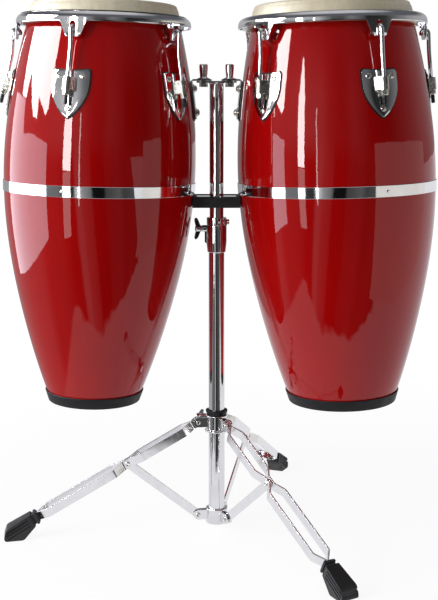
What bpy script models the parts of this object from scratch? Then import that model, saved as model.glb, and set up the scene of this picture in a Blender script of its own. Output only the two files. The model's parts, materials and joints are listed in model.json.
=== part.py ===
"""Two conga drums, ten and eleven inch, hung on one folding double stand.

Metres, +Z up. The origin is the centre of the flat bottom end of the stand's pole, and the pole runs
along +Z. +X points to the larger drum and -Y to the player. Each drum has its own frame, with its
origin on the drum's axis at the bottom rim, +z up the drum and +x towards the pole.
"""

import math

import bmesh
import bpy
from mathutils import Matrix, Vector

# ---------------------------------------------------------------- driving dimensions
GROUND_Z = -0.010
GAP = 0.0004

# Drums. Radii are of the shell's outside.
DRUM_HEIGHT = 0.711
DRUM_BOTTOM_Z = 0.222
DRUM_TILT = math.radians(1.5)
SHELL_WALL = 0.009
SHELL_FOOT = 0.004
SKIN = 0.002
SHELL_TOP = DRUM_HEIGHT - SKIN - GAP
BEARING_EDGE = 0.004
SHELL_SHOULDER = SHELL_TOP - BEARING_EDGE
DRUM_SEGMENTS = 32
DRUMS = {
    "left": {
        "axis_x": -0.2105, "turn": 0.0, "head": 0.1270,
        "top": 0.1285, "belly": 0.1724, "belly_height": 0.421, "foot": 0.0780,
    },
    "right": {
        "axis_x": 0.2161, "turn": math.pi, "head": 0.1397,
        "top": 0.1380, "belly": 0.1778, "belly_height": 0.411, "foot": 0.0920,
    },
}
CURVE_POWER = 1.8

# Trim on each shell.
BAND_HEIGHT = 0.3837
BAND_WIDTH = 0.019
BAND_THICKNESS = 0.001
RING_WIDTH = 0.019
RING_THICKNESS = 0.0025

# Rim: a channel whose skirt drops into an ear at each of the five tuning stations.
STATIONS = 5
FIRST_STATION = math.radians(40)
RIM_FLARE = 0.030
RIM_TOP = DRUM_HEIGHT - 0.022
RIM_STEEL = 0.003
RIM_ROLL = 0.010
RIM_OFF_SHELL = 0.0045
RIM_LIP = 0.003
RIM_TRAVEL_ROOM = 0.0046
SKIRT_BOTTOM = DRUM_HEIGHT - 0.041
EAR_DROP = 0.027
EAR_FLAT_HALF = 0.0105
EAR_HALF = 0.026
SLOT_HALF = 0.0052
SLOT_BOTTOM = SKIRT_BOTTOM - 0.017
SLOT_TOP = SKIRT_BOTTOM + 0.001
HOOP_RADIUS = 0.004
HOOP_HEIGHT = DRUM_HEIGHT - 0.036

# Tuning hooks and their lugs.
ROD_RADIUS = 0.0039
ROD_OUTSIDE_RIM = 0.0065
ROD_INSIDE_RIM = 0.0048
HOOK_ARC_HEIGHT = SLOT_BOTTOM + 2 * GAP
HOOK_SHORT_LEG = 0.003
ROD_BEND_HEIGHT = 0.615
STRAP_HEIGHT = 0.564
ROD_OFF_SHELL = 0.0135
ROD_BELOW_STRAP = 0.036
STRAP_HALF_TALL = 0.011
STRAP_OUTER = 0.0082
STRAP_INNER = 0.0055
STRAP_BASE_HALF = 0.014
NUT_FLATS = 0.0115
NUT_TALL = 0.009
NUT_BORE = 0.0054
LUG_TOP = 0.588
LUG_BOTTOM = 0.507
LUG_HALF = 0.033
LUG_THICKNESS = 0.0042
LUG_WIDEST = 0.72

# Pole and its fittings.
UPPER_TUBE_RADIUS = 0.0127
UPPER_TUBE_WALL = 0.002
UPPER_TUBE_BOTTOM = 0.240
LOWER_TUBE_RADIUS = 0.0143
LOWER_TUBE_BORE = 0.0131
POLE_PLUG = 0.004
POLE_SEGMENTS = 24
CLAMP_BOTTOM = 0.486
CLAMP_TOP = 0.535
CLAMP_RADIUS = 0.0185
LOCK_TOP = 0.5485
LOCK_RADIUS = 0.018
LOCK_EAR_AZIMUTH = math.radians(-62)
HEIGHT_WING_Z = 0.528
CROSSBAR_TOP = 0.794
PLATE = 0.003
CROSSBAR_HALF_X = 0.036
CROSSBAR_HALF_Y = 0.022
MOUNT_BOLT_X = 0.0235
MOUNT_BOLT_RADIUS = 0.0039
MOUNT_BOLT_HOLE = 0.0045
WELD_NUT_RADIUS = 0.0078
WELD_NUT_TALL = 0.0075
SADDLE_BOTTOM = 0.568
SADDLE_TOP = 0.588
SADDLE_HALF_Y = 0.034
SADDLE_CLEAR = BAND_THICKNESS + 2.5 * GAP
BRACKET_BOTTOM = 0.508
BRACKET_HALF = 0.0225

# Tripod. Legs pivot on the sliding collar at A and braces on the pole's foot at B; they meet at M.
LEG_AZIMUTHS = {"left": math.radians(189), "front": math.radians(303), "back": math.radians(69)}
PIVOT_RADIUS = 0.034
LEG_PIVOT_Z = 0.1806
BRACE_PIVOT_Z = 0.0148
MID_RADIUS = 0.161
MID_Z = 0.1123
STRIP_THICKNESS = 0.003
STRIP_HALF_TALL = 0.0075
LEG_END = 0.345
UPPER_LOOP_HALF = 0.014
LOWER_LOOP_HALF = 0.016
PINCH_HALF = 0.0039
JOINED_HALF = 0.0012
PIN_RADIUS = 0.003
PIN_HOLE = 0.0034
RIVET_RADIUS = 0.0045
EAR_STEEL = 0.003
LEG_EAR_INNER = 0.0036
BRACE_EAR_INNER = 0.0022
FOOT_OVERLAP = 0.023
FOOT_BEYOND = 0.034
FOOT_NECK_HALF = 0.011
FOOT_TOE_HALF = 0.0165
SOLE_LENGTH = 0.030
COLLAR_BORE = 0.0147
COLLAR_RADIUS = 0.0193
COLLAR_BOTTOM = 0.1635
COLLAR_TOP = 0.1925
COLLAR_BUSH_TOP = 0.202
COLLAR_WING_AZIMUTH = math.radians(148)
COLLAR_WING_Z = 0.1845
BOSS_RADIUS = 0.0065
BOSS_BORE = 0.0045
HEIGHT_BOSS_FACE = 0.0262
COLLAR_BOSS_FACE = 0.0300
WING_STEM = 0.0039
WING_REACH = 0.0075
WING_HALF = 0.0205
WING_THICK = 0.0042

LEG_ANGLE = math.atan2(LEG_PIVOT_Z - MID_Z, MID_RADIUS - PIVOT_RADIUS)
BRACE_ANGLE = math.atan2(MID_Z - BRACE_PIVOT_Z, MID_RADIUS - PIVOT_RADIUS)
LEG_TO_MID = math.hypot(LEG_PIVOT_Z - MID_Z, MID_RADIUS - PIVOT_RADIUS)
BRACE_LENGTH = math.hypot(MID_Z - BRACE_PIVOT_Z, MID_RADIUS - PIVOT_RADIUS)

# Colour, roughness, metallic.
FINISHES = {
    "red_lacquer": ((0.55, 0.004, 0.006), 0.08, 0.0),
    "chrome": ((0.80, 0.80, 0.81), 0.08, 1.0),
    "black_rubber": ((0.012, 0.012, 0.013), 0.65, 0.0),
    "natural_skin": ((0.66, 0.60, 0.46), 0.60, 0.0),
}


# ---------------------------------------------------------------- building blocks
def clear_scene():
    for obj in list(bpy.data.objects):
        bpy.data.objects.remove(obj)


def finish(name):
    """The material of that name, made once."""
    if name in bpy.data.materials:
        return bpy.data.materials[name]
    colour, roughness, metallic = FINISHES[name]
    made = bpy.data.materials.new(name)
    made.use_nodes = True
    shader = made.node_tree.nodes["Principled BSDF"]
    shader.inputs["Base Color"].default_value = (*colour, 1.0)
    shader.inputs["Roughness"].default_value = roughness
    shader.inputs["Metallic"].default_value = metallic
    return made


def to_mesh(name, bm):
    bmesh.ops.recalc_face_normals(bm, faces=bm.faces)
    mesh = bpy.data.meshes.new(name)
    bm.to_mesh(mesh)
    bm.free()
    return mesh


def place(name, mesh, material, parent=None, location=(0, 0, 0), rotation=(0, 0, 0)):
    """A named object of the mesh or curve, shaded smooth up to 35 degrees."""
    obj = bpy.data.objects.new(name, mesh)
    bpy.context.scene.collection.objects.link(obj)
    if not mesh.materials:
        mesh.materials.append(finish(material))
    if isinstance(mesh, bpy.types.Mesh):
        mesh.shade_smooth()
        mesh.set_sharp_from_angle(angle=math.radians(35))
    obj.parent = parent
    obj.location = location
    obj.rotation_euler = rotation
    return obj


def empty(name, parent=None, location=(0, 0, 0), rotation=(0, 0, 0)):
    obj = bpy.data.objects.new(name, None)
    bpy.context.scene.collection.objects.link(obj)
    obj.parent = parent
    obj.location = location
    obj.rotation_euler = rotation
    return obj


def even_angles(count):
    return [2 * math.pi * i / count for i in range(count)]


def revolve(profile, angles, closed=True):
    """A solid of revolution about z. profile is a list of (radius, z), or a function of the angle that
    gives one. An open profile starts and ends on the axis."""
    at = profile if callable(profile) else lambda angle: profile
    outlines = [at(angle) for angle in angles]
    bm = bmesh.new()
    rows = []
    for j in range(len(outlines[0])):
        if outlines[0][j][0] == 0:
            rows.append([bm.verts.new((0, 0, outlines[0][j][1]))])
            continue
        rows.append([
            bm.verts.new((line[j][0] * math.cos(a), line[j][0] * math.sin(a), line[j][1]))
            for a, line in zip(angles, outlines)
        ])
    pairs = list(zip(rows, rows[1:])) + ([(rows[-1], rows[0])] if closed else [])
    n = len(angles)
    for low, high in pairs:
        for i in range(n):
            below = [low[i % len(low)], low[(i + 1) % len(low)]]
            above = [high[(i + 1) % len(high)], high[i % len(high)]]
            bm.faces.new(list(dict.fromkeys(below + above)))
    return bm


def prism(outline, low, high, axes="xyz"):
    """The outline, a list of points in the first two axes, extruded along the third from low to high."""
    order = ["xyz".index(a) for a in axes]
    bm = bmesh.new()

    def corner(p, q, height):
        point = [0.0, 0.0, 0.0]
        for axis, value in zip(order, (p, q, height)):
            point[axis] = value
        return bm.verts.new(point)

    face = bm.faces.new([corner(p, q, low) for p, q in outline])
    made = bmesh.ops.extrude_face_region(bm, geom=[face])
    shift = Vector((0, 0, 0))
    shift[order[2]] = high - low
    bmesh.ops.translate(bm, verts=[v for v in made["geom"] if isinstance(v, bmesh.types.BMVert)], vec=shift)
    return bm


def box(low, high):
    outline = [(low[0], low[1]), (high[0], low[1]), (high[0], high[1]), (low[0], high[1])]
    return prism(outline, low[2], high[2])


def rod(radius, low, high, axes="yzx", sides=12):
    """A round bar along the third of the axes."""
    return prism([(radius * math.cos(a), radius * math.sin(a)) for a in even_angles(sides)], low, high, axes)


def moved(bm, matrix):
    bmesh.ops.transform(bm, matrix=matrix, verts=bm.verts)
    return bm


def combine(name, first, others, operation="UNION"):
    """The first solid joined with, or cut by, each of the others in turn, as one mesh."""
    target = bpy.data.objects.new(name, to_mesh(name, first))
    bpy.context.scene.collection.objects.link(target)
    tools = []
    for other in others:
        tool = bpy.data.objects.new(name + "_tool", to_mesh(name + "_tool", other))
        bpy.context.scene.collection.objects.link(tool)
        modifier = target.modifiers.new("join", "BOOLEAN")
        modifier.operation = operation
        modifier.solver = "EXACT"
        modifier.object = tool
        tools.append(tool)
    bpy.context.view_layer.update()
    mesh = bpy.data.meshes.new_from_object(target.evaluated_get(bpy.context.evaluated_depsgraph_get()))
    mesh.name = name
    for obj in [target, *tools]:
        bpy.data.objects.remove(obj)
    return mesh


def from_mesh(mesh):
    bm = bmesh.new()
    bm.from_mesh(mesh)
    return bm


def ribbon(line, half):
    """The outline of a strip of even thickness along a 2-D line, mitred at its bends."""
    sides = ([], [])
    for i, (x, y) in enumerate(line):
        before = Vector(line[i]) - Vector(line[i - 1]) if i else Vector(line[1]) - Vector(line[0])
        after = Vector(line[i + 1]) - Vector(line[i]) if i + 1 < len(line) else before
        before, after = before.normalized(), after.normalized()
        across = Vector((-before.y - after.y, before.x + after.x)).normalized()
        reach = half / across.dot(Vector((-before.y, before.x)))
        sides[0].append((x + across.x * reach, y + across.y * reach))
        sides[1].append((x - across.x * reach, y - across.y * reach))
    return sides[0] + sides[1][::-1]


def arc(centre, radius, start, stop, steps):
    """Points on an arc, start and stop in degrees."""
    turns = [math.radians(start + (stop - start) * i / steps) for i in range(steps + 1)]
    return [(centre[0] + radius * math.cos(t), centre[1] + radius * math.sin(t)) for t in turns]


# ---------------------------------------------------------------- drums
def shell_radius(drum, height):
    """Outside radius of a shell, which falls away from the belly by the same power both ways."""
    if height >= drum["belly_height"]:
        share = (height - drum["belly_height"]) / (DRUM_HEIGHT - drum["belly_height"])
        return drum["belly"] - (drum["belly"] - drum["top"]) * share**CURVE_POWER
    share = (drum["belly_height"] - height) / drum["belly_height"]
    return drum["belly"] - (drum["belly"] - drum["foot"]) * share**CURVE_POWER


def heights(low, high, count):
    return [low + (high - low) * i / (count - 1) for i in range(count)]


def shell(drum):
    outer = [(shell_radius(drum, h), h) for h in heights(SHELL_FOOT, SHELL_SHOULDER, 9)]
    edge = [(shell_radius(drum, SHELL_TOP) - BEARING_EDGE, SHELL_TOP)]
    inner = [(shell_radius(drum, h) - SHELL_WALL, h) for h in heights(SHELL_FOOT, SHELL_SHOULDER, 5)]
    return to_mesh("shell", revolve(outer + edge + inner[::-1], even_angles(DRUM_SEGMENTS)))


def belly_band(drum):
    levels = (BAND_HEIGHT - BAND_WIDTH / 2, BAND_HEIGHT + BAND_WIDTH / 2)
    inside = [(shell_radius(drum, h) + GAP, h) for h in levels]
    outside = [(r + BAND_THICKNESS, h) for r, h in inside[::-1]]
    return to_mesh("belly_band", revolve(inside + outside, even_angles(DRUM_SEGMENTS)))


def bottom_ring(drum):
    """A rubber channel pushed over the bottom edge of the shell."""
    lip = 0.010
    foot = shell_radius(drum, SHELL_FOOT)
    side = shell_radius(drum, RING_WIDTH)
    under = SHELL_FOOT - GAP
    section = [
        (foot + RING_THICKNESS, 0.001),
        (side + RING_THICKNESS, RING_WIDTH - 0.001),
        (side + GAP, RING_WIDTH),
        (foot + GAP, under),
        (foot - SHELL_WALL - GAP, under),
        (foot - SHELL_WALL - GAP, lip),
        (foot - SHELL_WALL - RING_THICKNESS, lip),
        (foot - SHELL_WALL - RING_THICKNESS, 0.0),
        (foot + RING_THICKNESS - 0.001, 0.0),
    ]
    return to_mesh("bottom_ring", revolve(section, even_angles(DRUM_SEGMENTS)))


def head(drum):
    """The skin: flat on top, turned down over the bearing edge, and wrapped on the flesh hoop."""
    def outside(height):
        return shell_radius(drum, height) + SKIN + GAP

    hoop_top = HOOP_HEIGHT + HOOP_RADIUS
    hoop_low = HOOP_HEIGHT - HOOP_RADIUS
    hoop_out = outside(HOOP_HEIGHT) + 2 * HOOP_RADIUS - SKIN
    section = [
        (0, DRUM_HEIGHT),
        (outside(DRUM_HEIGHT) - BEARING_EDGE, DRUM_HEIGHT),
        (outside(DRUM_HEIGHT - BEARING_EDGE), DRUM_HEIGHT - BEARING_EDGE),
        (outside(hoop_top), hoop_top),
        (hoop_out, hoop_top - 0.002),
        (hoop_out, hoop_low + 0.001),
        (hoop_out - 0.001, hoop_low),
    ]
    section += [(shell_radius(drum, h) + GAP, h) for h in heights(hoop_low, SHELL_SHOULDER + GAP, 3)]
    under = DRUM_HEIGHT - SKIN
    section += [(shell_radius(drum, SHELL_TOP) - BEARING_EDGE + GAP, under), (0, under)]
    return to_mesh("head", revolve(section, even_angles(DRUM_SEGMENTS), closed=False))


def rim_radius(drum):
    return drum["head"] + RIM_FLARE


def station_azimuths():
    return [FIRST_STATION + 2 * math.pi * k / STATIONS for k in range(STATIONS)]


def ear_share(distance):
    """How much of the ear's full drop the skirt has at that distance along the rim from its middle."""
    t = min(1.0, max(0.0, (EAR_HALF - distance) / (EAR_HALF - EAR_FLAT_HALF)))
    return t * t * (3 - 2 * t)


def rim(drum):
    """The counter-hoop, with five slotted ears that the tuning hooks hang in."""
    radius = rim_radius(drum)
    flange_low = HOOP_HEIGHT + HOOP_RADIUS + RIM_TRAVEL_ROOM
    inner = [shell_radius(drum, h) + RIM_OFF_SHELL for h in (RIM_TOP, flange_low)]
    outer = inner[1] + RIM_LIP
    crest = (radius - RIM_ROLL, RIM_TOP - RIM_ROLL)
    middle = (EAR_HALF + EAR_FLAT_HALF) / 2
    offsets = [-EAR_HALF, -middle, -EAR_FLAT_HALF, EAR_FLAT_HALF, middle, EAR_HALF]
    angles = []
    for azimuth in station_azimuths():
        angles += [azimuth + offset / radius for offset in offsets]
        span = 2 * math.pi / STATIONS - 2 * EAR_HALF / radius
        angles += [azimuth + EAR_HALF / radius + span * i / 4 for i in range(1, 4)]

    def section(angle):
        nearest = min(abs(math.remainder(angle - a, 2 * math.pi)) for a in station_azimuths())
        low = SKIRT_BOTTOM - EAR_DROP * ear_share(nearest * radius)
        outer_roll = arc(crest, RIM_ROLL, 90, 0, 2)
        inner_roll = arc(crest, RIM_ROLL - RIM_STEEL, 0, 90, 1)
        return [
            (inner[0], RIM_TOP), *outer_roll, (radius, low), (radius - RIM_STEEL, low), *inner_roll,
            (outer, RIM_TOP - RIM_STEEL), (outer, flange_low), (inner[1], flange_low),
        ]

    slots = [
        moved(box((radius - 0.008, -SLOT_HALF, SLOT_BOTTOM), (radius + 0.008, SLOT_HALF, SLOT_TOP)),
              Matrix.Rotation(azimuth, 4, "Z"))
        for azimuth in station_azimuths()
    ]
    return combine("rim", revolve(section, angles), slots, "DIFFERENCE")


def rod_line(drum):
    """Points of a hook's centre line in its station's x-z plane, from the short leg round to the tip,
    then the strap's point on the rod and the rod's lean there."""
    out = rim_radius(drum) + ROD_OUTSIDE_RIM
    ins = rim_radius(drum) - RIM_STEEL - ROD_INSIDE_RIM
    strap_x = max(shell_radius(drum, STRAP_HEIGHT) + ROD_OFF_SHELL, out + 0.0015)
    lean = math.atan2(strap_x - out, ROD_BEND_HEIGHT - STRAP_HEIGHT)
    middle = ((out + ins) / 2, HOOK_ARC_HEIGHT)
    line = [(ins, HOOK_ARC_HEIGHT - HOOK_SHORT_LEG)]
    line += arc(middle, (out - ins) / 2, 180, 0, 6)
    line += [(out, ROD_BEND_HEIGHT + 0.010), (out + math.sin(lean) * 0.004, ROD_BEND_HEIGHT - 0.004)]
    line += [(strap_x + math.sin(lean) * ROD_BELOW_STRAP, STRAP_HEIGHT - math.cos(lean) * ROD_BELOW_STRAP)]
    return line, strap_x, lean


def hook(drum):
    """A bent round rod, as a curve with a round bevel and filled ends."""
    line, _, _ = rod_line(drum)
    curve = bpy.data.curves.new("hook", "CURVE")
    curve.dimensions = "3D"
    curve.bevel_depth = ROD_RADIUS
    curve.bevel_resolution = 2
    curve.use_fill_caps = True
    spline = curve.splines.new("POLY")
    spline.points.add(len(line) - 1)
    for point, (x, z) in zip(spline.points, line):
        point.co = (x, 0, z, 1)
    return curve


def nut():
    """A hexagon nut about z, its top face at z = 0."""
    corner = NUT_FLATS / math.sqrt(3)
    section = [(corner, -NUT_TALL), (corner, 0), (NUT_BORE, 0), (NUT_BORE, -NUT_TALL)]
    return to_mesh("nut", revolve(section, even_angles(6)))


def lug_half_width(share):
    """Half the plate's width at a share of its height: a sine up to the widest line, then straight."""
    corner = 0.93
    half = LUG_HALF * math.sin(math.pi / 2 * min(share / LUG_WIDEST, 1.0))
    return half - max(0.0, share - corner) / (1 - corner) * 0.006


def plate_on_shell(drum, rows, columns, thickness):
    """A plate that follows the shell. rows is a list of (height, half width); it faces +x."""
    bm = bmesh.new()
    layers = []
    for lift in (GAP, GAP + thickness):
        grid = []
        for height, half in rows:
            radius = shell_radius(drum, height)
            line = []
            for i in range(columns + 1):
                angle = (2 * i / columns - 1) * half / radius
                reach = radius + lift
                line.append(bm.verts.new((reach * math.cos(angle), reach * math.sin(angle), height)))
            grid.append(line)
        layers.append(grid)
    for grid in layers:
        for low, high in zip(grid, grid[1:]):
            for i in range(columns):
                bm.faces.new([low[i], low[i + 1], high[i + 1], high[i]])
    inner, outer = layers
    edge = [(0, i) for i in range(columns)]
    edge += [(j, columns) for j in range(len(rows) - 1)]
    edge += [(len(rows) - 1, i) for i in range(columns, 0, -1)]
    edge += [(j, 0) for j in range(len(rows) - 1, 0, -1)]
    for (j, i), (l, k) in zip(edge, edge[1:] + edge[:1]):
        bm.faces.new([inner[j][i], inner[l][k], outer[l][k], outer[j][i]])
    return bm


def lug(drum):
    """A shield-shaped plate with a bent strap that the tuning rod passes through."""
    shares = [0.05, 0.22, 0.42, 0.65, 0.93, 1.0]
    tall = LUG_TOP - LUG_BOTTOM
    rows = [(LUG_BOTTOM + share * tall, lug_half_width(share)) for share in shares]
    plate = plate_on_shell(drum, rows, 4, LUG_THICKNESS)
    _, strap_x, lean = rod_line(drum)
    reach = strap_x - shell_radius(drum, STRAP_HEIGHT) - GAP - LUG_THICKNESS + 0.0022
    inner_half = STRAP_BASE_HALF - (STRAP_OUTER - STRAP_INNER)
    outline = [(-reach, -STRAP_BASE_HALF), *arc((0, 0), STRAP_OUTER, -75, 75, 5), (-reach, STRAP_BASE_HALF)]
    outline += [(-reach, inner_half), *arc((0, 0), STRAP_INNER, 75, -75, 5), (-reach, -inner_half)]
    strap = prism(outline, -STRAP_HALF_TALL, STRAP_HALF_TALL)
    moved(strap, Matrix.Translation((strap_x, 0, STRAP_HEIGHT)) @ Matrix.Rotation(-lean, 4, "Y"))
    return combine("lug", plate, [strap])


def mount_bracket(drum, to_world):
    """The plate bolted to the shell towards the pole, bent over into a flange that lies on the crossbar."""
    flange_low = CROSSBAR_TOP + GAP
    top = (to_world.inverted() @ Vector((drum["axis_x"] * 0.2, 0, flange_low))).z + PLATE / 2
    levels = heights(BRACKET_BOTTOM, top, 5)
    plate = plate_on_shell(drum, [(h, BRACKET_HALF) for h in levels], 4, LUG_THICKNESS)
    side = math.copysign(1, drum["axis_x"])
    face = abs((to_world @ Vector((shell_radius(drum, top), 0, top))).x)
    near, far = sorted((side * 0.009, side * (face - 0.001)))
    flange = box((near, -BRACKET_HALF + 0.0015, flange_low), (far, BRACKET_HALF - 0.0015, flange_low + PLATE))
    moved(flange, to_world.inverted())
    hole = rod(MOUNT_BOLT_HOLE, flange_low - 0.01, flange_low + 0.01, "xyz")
    moved(hole, to_world.inverted() @ Matrix.Translation((side * MOUNT_BOLT_X, 0, 0)))
    joined = combine("mount_bracket", plate, [flange])
    return combine("mount_bracket", from_mesh(joined), [hole], "DIFFERENCE")


def drum_empty(side, drum, parent):
    """The drum's frame. Its axis passes through axis_x at the height of the belly band."""
    lean = DRUM_TILT if drum["axis_x"] < 0 else -DRUM_TILT
    offset = math.tan(lean) * BAND_HEIGHT
    turn = Matrix.Rotation(lean, 4, "Y") @ Matrix.Rotation(drum["turn"], 4, "Z")
    spot = (drum["axis_x"] - offset, 0, DRUM_BOTTOM_Z)
    return empty(side + "_drum", parent, spot, turn.to_euler())


def build_drum(side, drum, parent):
    frame = drum_empty(side, drum, parent)
    bpy.context.view_layer.update()
    place(side + "_shell", shell(drum), "red_lacquer", frame)
    place(side + "_belly_band", belly_band(drum), "chrome", frame)
    place(side + "_bottom_ring", bottom_ring(drum), "black_rubber", frame)
    place(side + "_head", head(drum), "natural_skin", frame)
    place(side + "_rim", rim(drum), "chrome", frame)
    place(side + "_mount_bracket", mount_bracket(drum, frame.matrix_world), "chrome", frame)
    _, strap_x, lean = rod_line(drum)
    below = STRAP_HALF_TALL + GAP
    nut_spot = (strap_x + math.sin(lean) * below, 0, STRAP_HEIGHT - math.cos(lean) * below)
    hook_curve, lug_mesh, nut_mesh = hook(drum), lug(drum), nut()
    for k, azimuth in enumerate(station_azimuths(), 1):
        station = empty(f"{side}_station_{k}", frame, rotation=(0, 0, azimuth))
        place(f"{side}_hook_{k}", hook_curve, "chrome", station)
        place(f"{side}_lug_{k}", lug_mesh, "chrome", station)
        place(f"{side}_nut_{k}", nut_mesh, "chrome", station, nut_spot, (0, -lean, 0))


# ---------------------------------------------------------------- pole
def clevis(pivot_z, root, inner):
    """Two ears and their pin, at azimuth 0, as a list of solids."""
    end = 0.0085
    outer = inner + EAR_STEEL
    outline = [(root, pivot_z - end), *arc((PIVOT_RADIUS, pivot_z), end, -90, 90, 4), (root, pivot_z + end)]
    ears = [prism(outline, low, high, "xzy") for low, high in ((inner, outer), (-outer, -inner))]
    pin = rod(PIN_RADIUS, -outer - 0.001, outer + 0.001, "xzy", 8)
    moved(pin, Matrix.Translation((PIVOT_RADIUS, 0, pivot_z)))
    return [*ears, pin]


def clevises(pivot_z, root, inner):
    return [
        moved(part, Matrix.Rotation(azimuth, 4, "Z"))
        for azimuth in LEG_AZIMUTHS.values()
        for part in clevis(pivot_z, root, inner)
    ]


def boss(start, stop):
    """A round boss along +x."""
    return rod(BOSS_RADIUS, start, stop)


def lower_tube():
    """The outer tube, welded up with the hub at its foot and the height clamp at its top."""
    hub, hub_top, chamfer = 0.0195, 0.026, 0.002
    section = [
        (0, 0), (hub, 0), (hub, hub_top - chamfer), (hub - chamfer, hub_top), (LOWER_TUBE_RADIUS, hub_top),
        (LOWER_TUBE_RADIUS, CLAMP_BOTTOM), (CLAMP_RADIUS - 0.0015, CLAMP_BOTTOM),
        (CLAMP_RADIUS, CLAMP_BOTTOM + 0.018), (CLAMP_RADIUS, CLAMP_TOP), (LOWER_TUBE_BORE, CLAMP_TOP),
        (LOWER_TUBE_BORE, POLE_PLUG), (0, POLE_PLUG),
    ]
    tube = revolve(section, even_angles(POLE_SEGMENTS), closed=False)
    turn = Matrix.Translation((0, 0, HEIGHT_WING_Z)) @ Matrix.Rotation(math.pi, 4, "Z")
    ears = clevises(BRACE_PIVOT_Z, 0.016, BRACE_EAR_INNER)
    welded = combine("lower_tube", tube, [moved(boss(0.0155, HEIGHT_BOSS_FACE), turn), *ears])
    bore = moved(rod(BOSS_BORE, 0.0165, 0.03), turn)
    return combine("lower_tube", from_mesh(welded), [bore], "DIFFERENCE")


def memory_lock():
    """A split ring on the upper tube that rests on the clamp, closed by one key bolt."""
    low, bore = CLAMP_TOP + GAP, UPPER_TUBE_RADIUS + GAP
    section = [(bore, low), (LOCK_RADIUS, low), (LOCK_RADIUS, LOCK_TOP), (bore, LOCK_TOP)]
    ring = revolve(section, even_angles(POLE_SEGMENTS))
    ear = box((0.0155, -0.007, low + 0.001), (0.028, 0.007, LOCK_TOP - 0.001))
    bolt = moved(rod(0.0026, -0.010, 0.013, "xzy", 8), Matrix.Translation((0.0235, 0, (low + LOCK_TOP) / 2)))
    split = box((0.010, -0.0012, low - 0.01), (0.0205, 0.0012, LOCK_TOP + 0.01))
    ring = combine("memory_lock", ring, [ear, bolt])
    mesh = combine("memory_lock", from_mesh(ring), [split], "DIFFERENCE")
    mesh.transform(Matrix.Rotation(LOCK_EAR_AZIMUTH, 4, "Z"))
    return mesh


def upper_tube():
    """The inner tube with the crossbar plate welded on its top and a nut welded under each bolt hole."""
    under = CROSSBAR_TOP - PLATE
    weld = under + 0.001
    bore = UPPER_TUBE_RADIUS - UPPER_TUBE_WALL
    section = [(bore, UPPER_TUBE_BOTTOM), (UPPER_TUBE_RADIUS, UPPER_TUBE_BOTTOM)]
    section += [(UPPER_TUBE_RADIUS, weld), (bore, weld)]
    tube = revolve(section, even_angles(POLE_SEGMENTS))
    half_x, half_y, corner = CROSSBAR_HALF_X, CROSSBAR_HALF_Y, 0.006
    corners = [(-1, -1, 0), (1, -1, 1), (1, 1, 0), (-1, 1, 1)]
    outline = []
    for x, y, along in corners:
        points = [(x * half_x, y * (half_y - corner)), (x * (half_x - corner), y * half_y)]
        outline += points[::-1] if along else points
    plate = prism(outline, under, CROSSBAR_TOP)
    nuts = []
    holes = []
    for side in (-1, 1):
        spot = Matrix.Translation((side * MOUNT_BOLT_X, 0, 0))
        nuts.append(moved(rod(WELD_NUT_RADIUS, under - WELD_NUT_TALL, weld, "xyz", 6), spot))
        holes.append(moved(rod(MOUNT_BOLT_HOLE, under - 0.02, CROSSBAR_TOP + 0.01, "xyz"), spot))
    joined = combine("upper_tube", plate, [tube, *nuts])
    return combine("upper_tube", from_mesh(joined), holes, "DIFFERENCE")


def mount_bolt():
    """A tall capped thumb bolt about z, its washer resting at z = 0."""
    reach, washer, cap_foot, cap_top, tall = 0.013, 0.0115, 0.0066, 0.0078, 0.027
    section = [
        (0, -reach), (MOUNT_BOLT_RADIUS, -reach), (MOUNT_BOLT_RADIUS, 0), (washer, 0), (washer, 0.0018),
        (cap_foot, 0.0030), (cap_top, tall - 0.002), (cap_top - 0.001, tall), (0, tall),
    ]
    return to_mesh("mount_bolt", revolve(section, even_angles(12), closed=False))


def saddle_pad(drum_frames):
    """The rubber block on the pole between the bellies, hollowed to fit each shell."""
    reach, spare = 0.060, 0.015
    block = box((-reach, -SADDLE_HALF_Y, SADDLE_BOTTOM), (reach, SADDLE_HALF_Y, SADDLE_TOP))
    low, high = SADDLE_BOTTOM - spare, SADDLE_TOP + spare
    cutters = [rod(UPPER_TUBE_RADIUS + GAP, low, high, "xyz", POLE_SEGMENTS)]
    levels = heights(low - DRUM_BOTTOM_Z, high - DRUM_BOTTOM_Z, 3)
    for side, drum in DRUMS.items():
        hollow = [(shell_radius(drum, h) + SADDLE_CLEAR, h) for h in levels]
        section = [(0, levels[0]), *hollow, (0, levels[-1])]
        cutters.append(moved(revolve(section, even_angles(96), closed=False), drum_frames[side]))
    return combine("saddle_pad", block, cutters, "DIFFERENCE")


def wing_bolt(reach):
    """A wing bolt along +x. x = 0 is where its hub meets the boss, and its stem runs back by reach."""
    radius, tall, nose = 0.0058, 0.0125, 0.0045
    section = [
        (0, -reach), (WING_STEM, -reach), (WING_STEM, 0),
        (radius, 0), (radius, tall - 0.0025), (nose, tall), (0, tall),
    ]
    hub = moved(revolve(section, even_angles(12), closed=False), Matrix.Rotation(math.pi / 2, 4, "Y"))
    half = [(0.0015, 0.003), (0.0035, 0.009), (0.0075, 0.0185), (0.0115, WING_HALF)]
    half += [(0.0142, 0.0175), (0.0125, 0.008), (0.0105, 0.003)]
    outline = half + [(x, -z) for x, z in half[::-1]]
    return combine("wing_bolt", hub, [prism(outline, -WING_THICK / 2, WING_THICK / 2, "xzy")])


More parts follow.
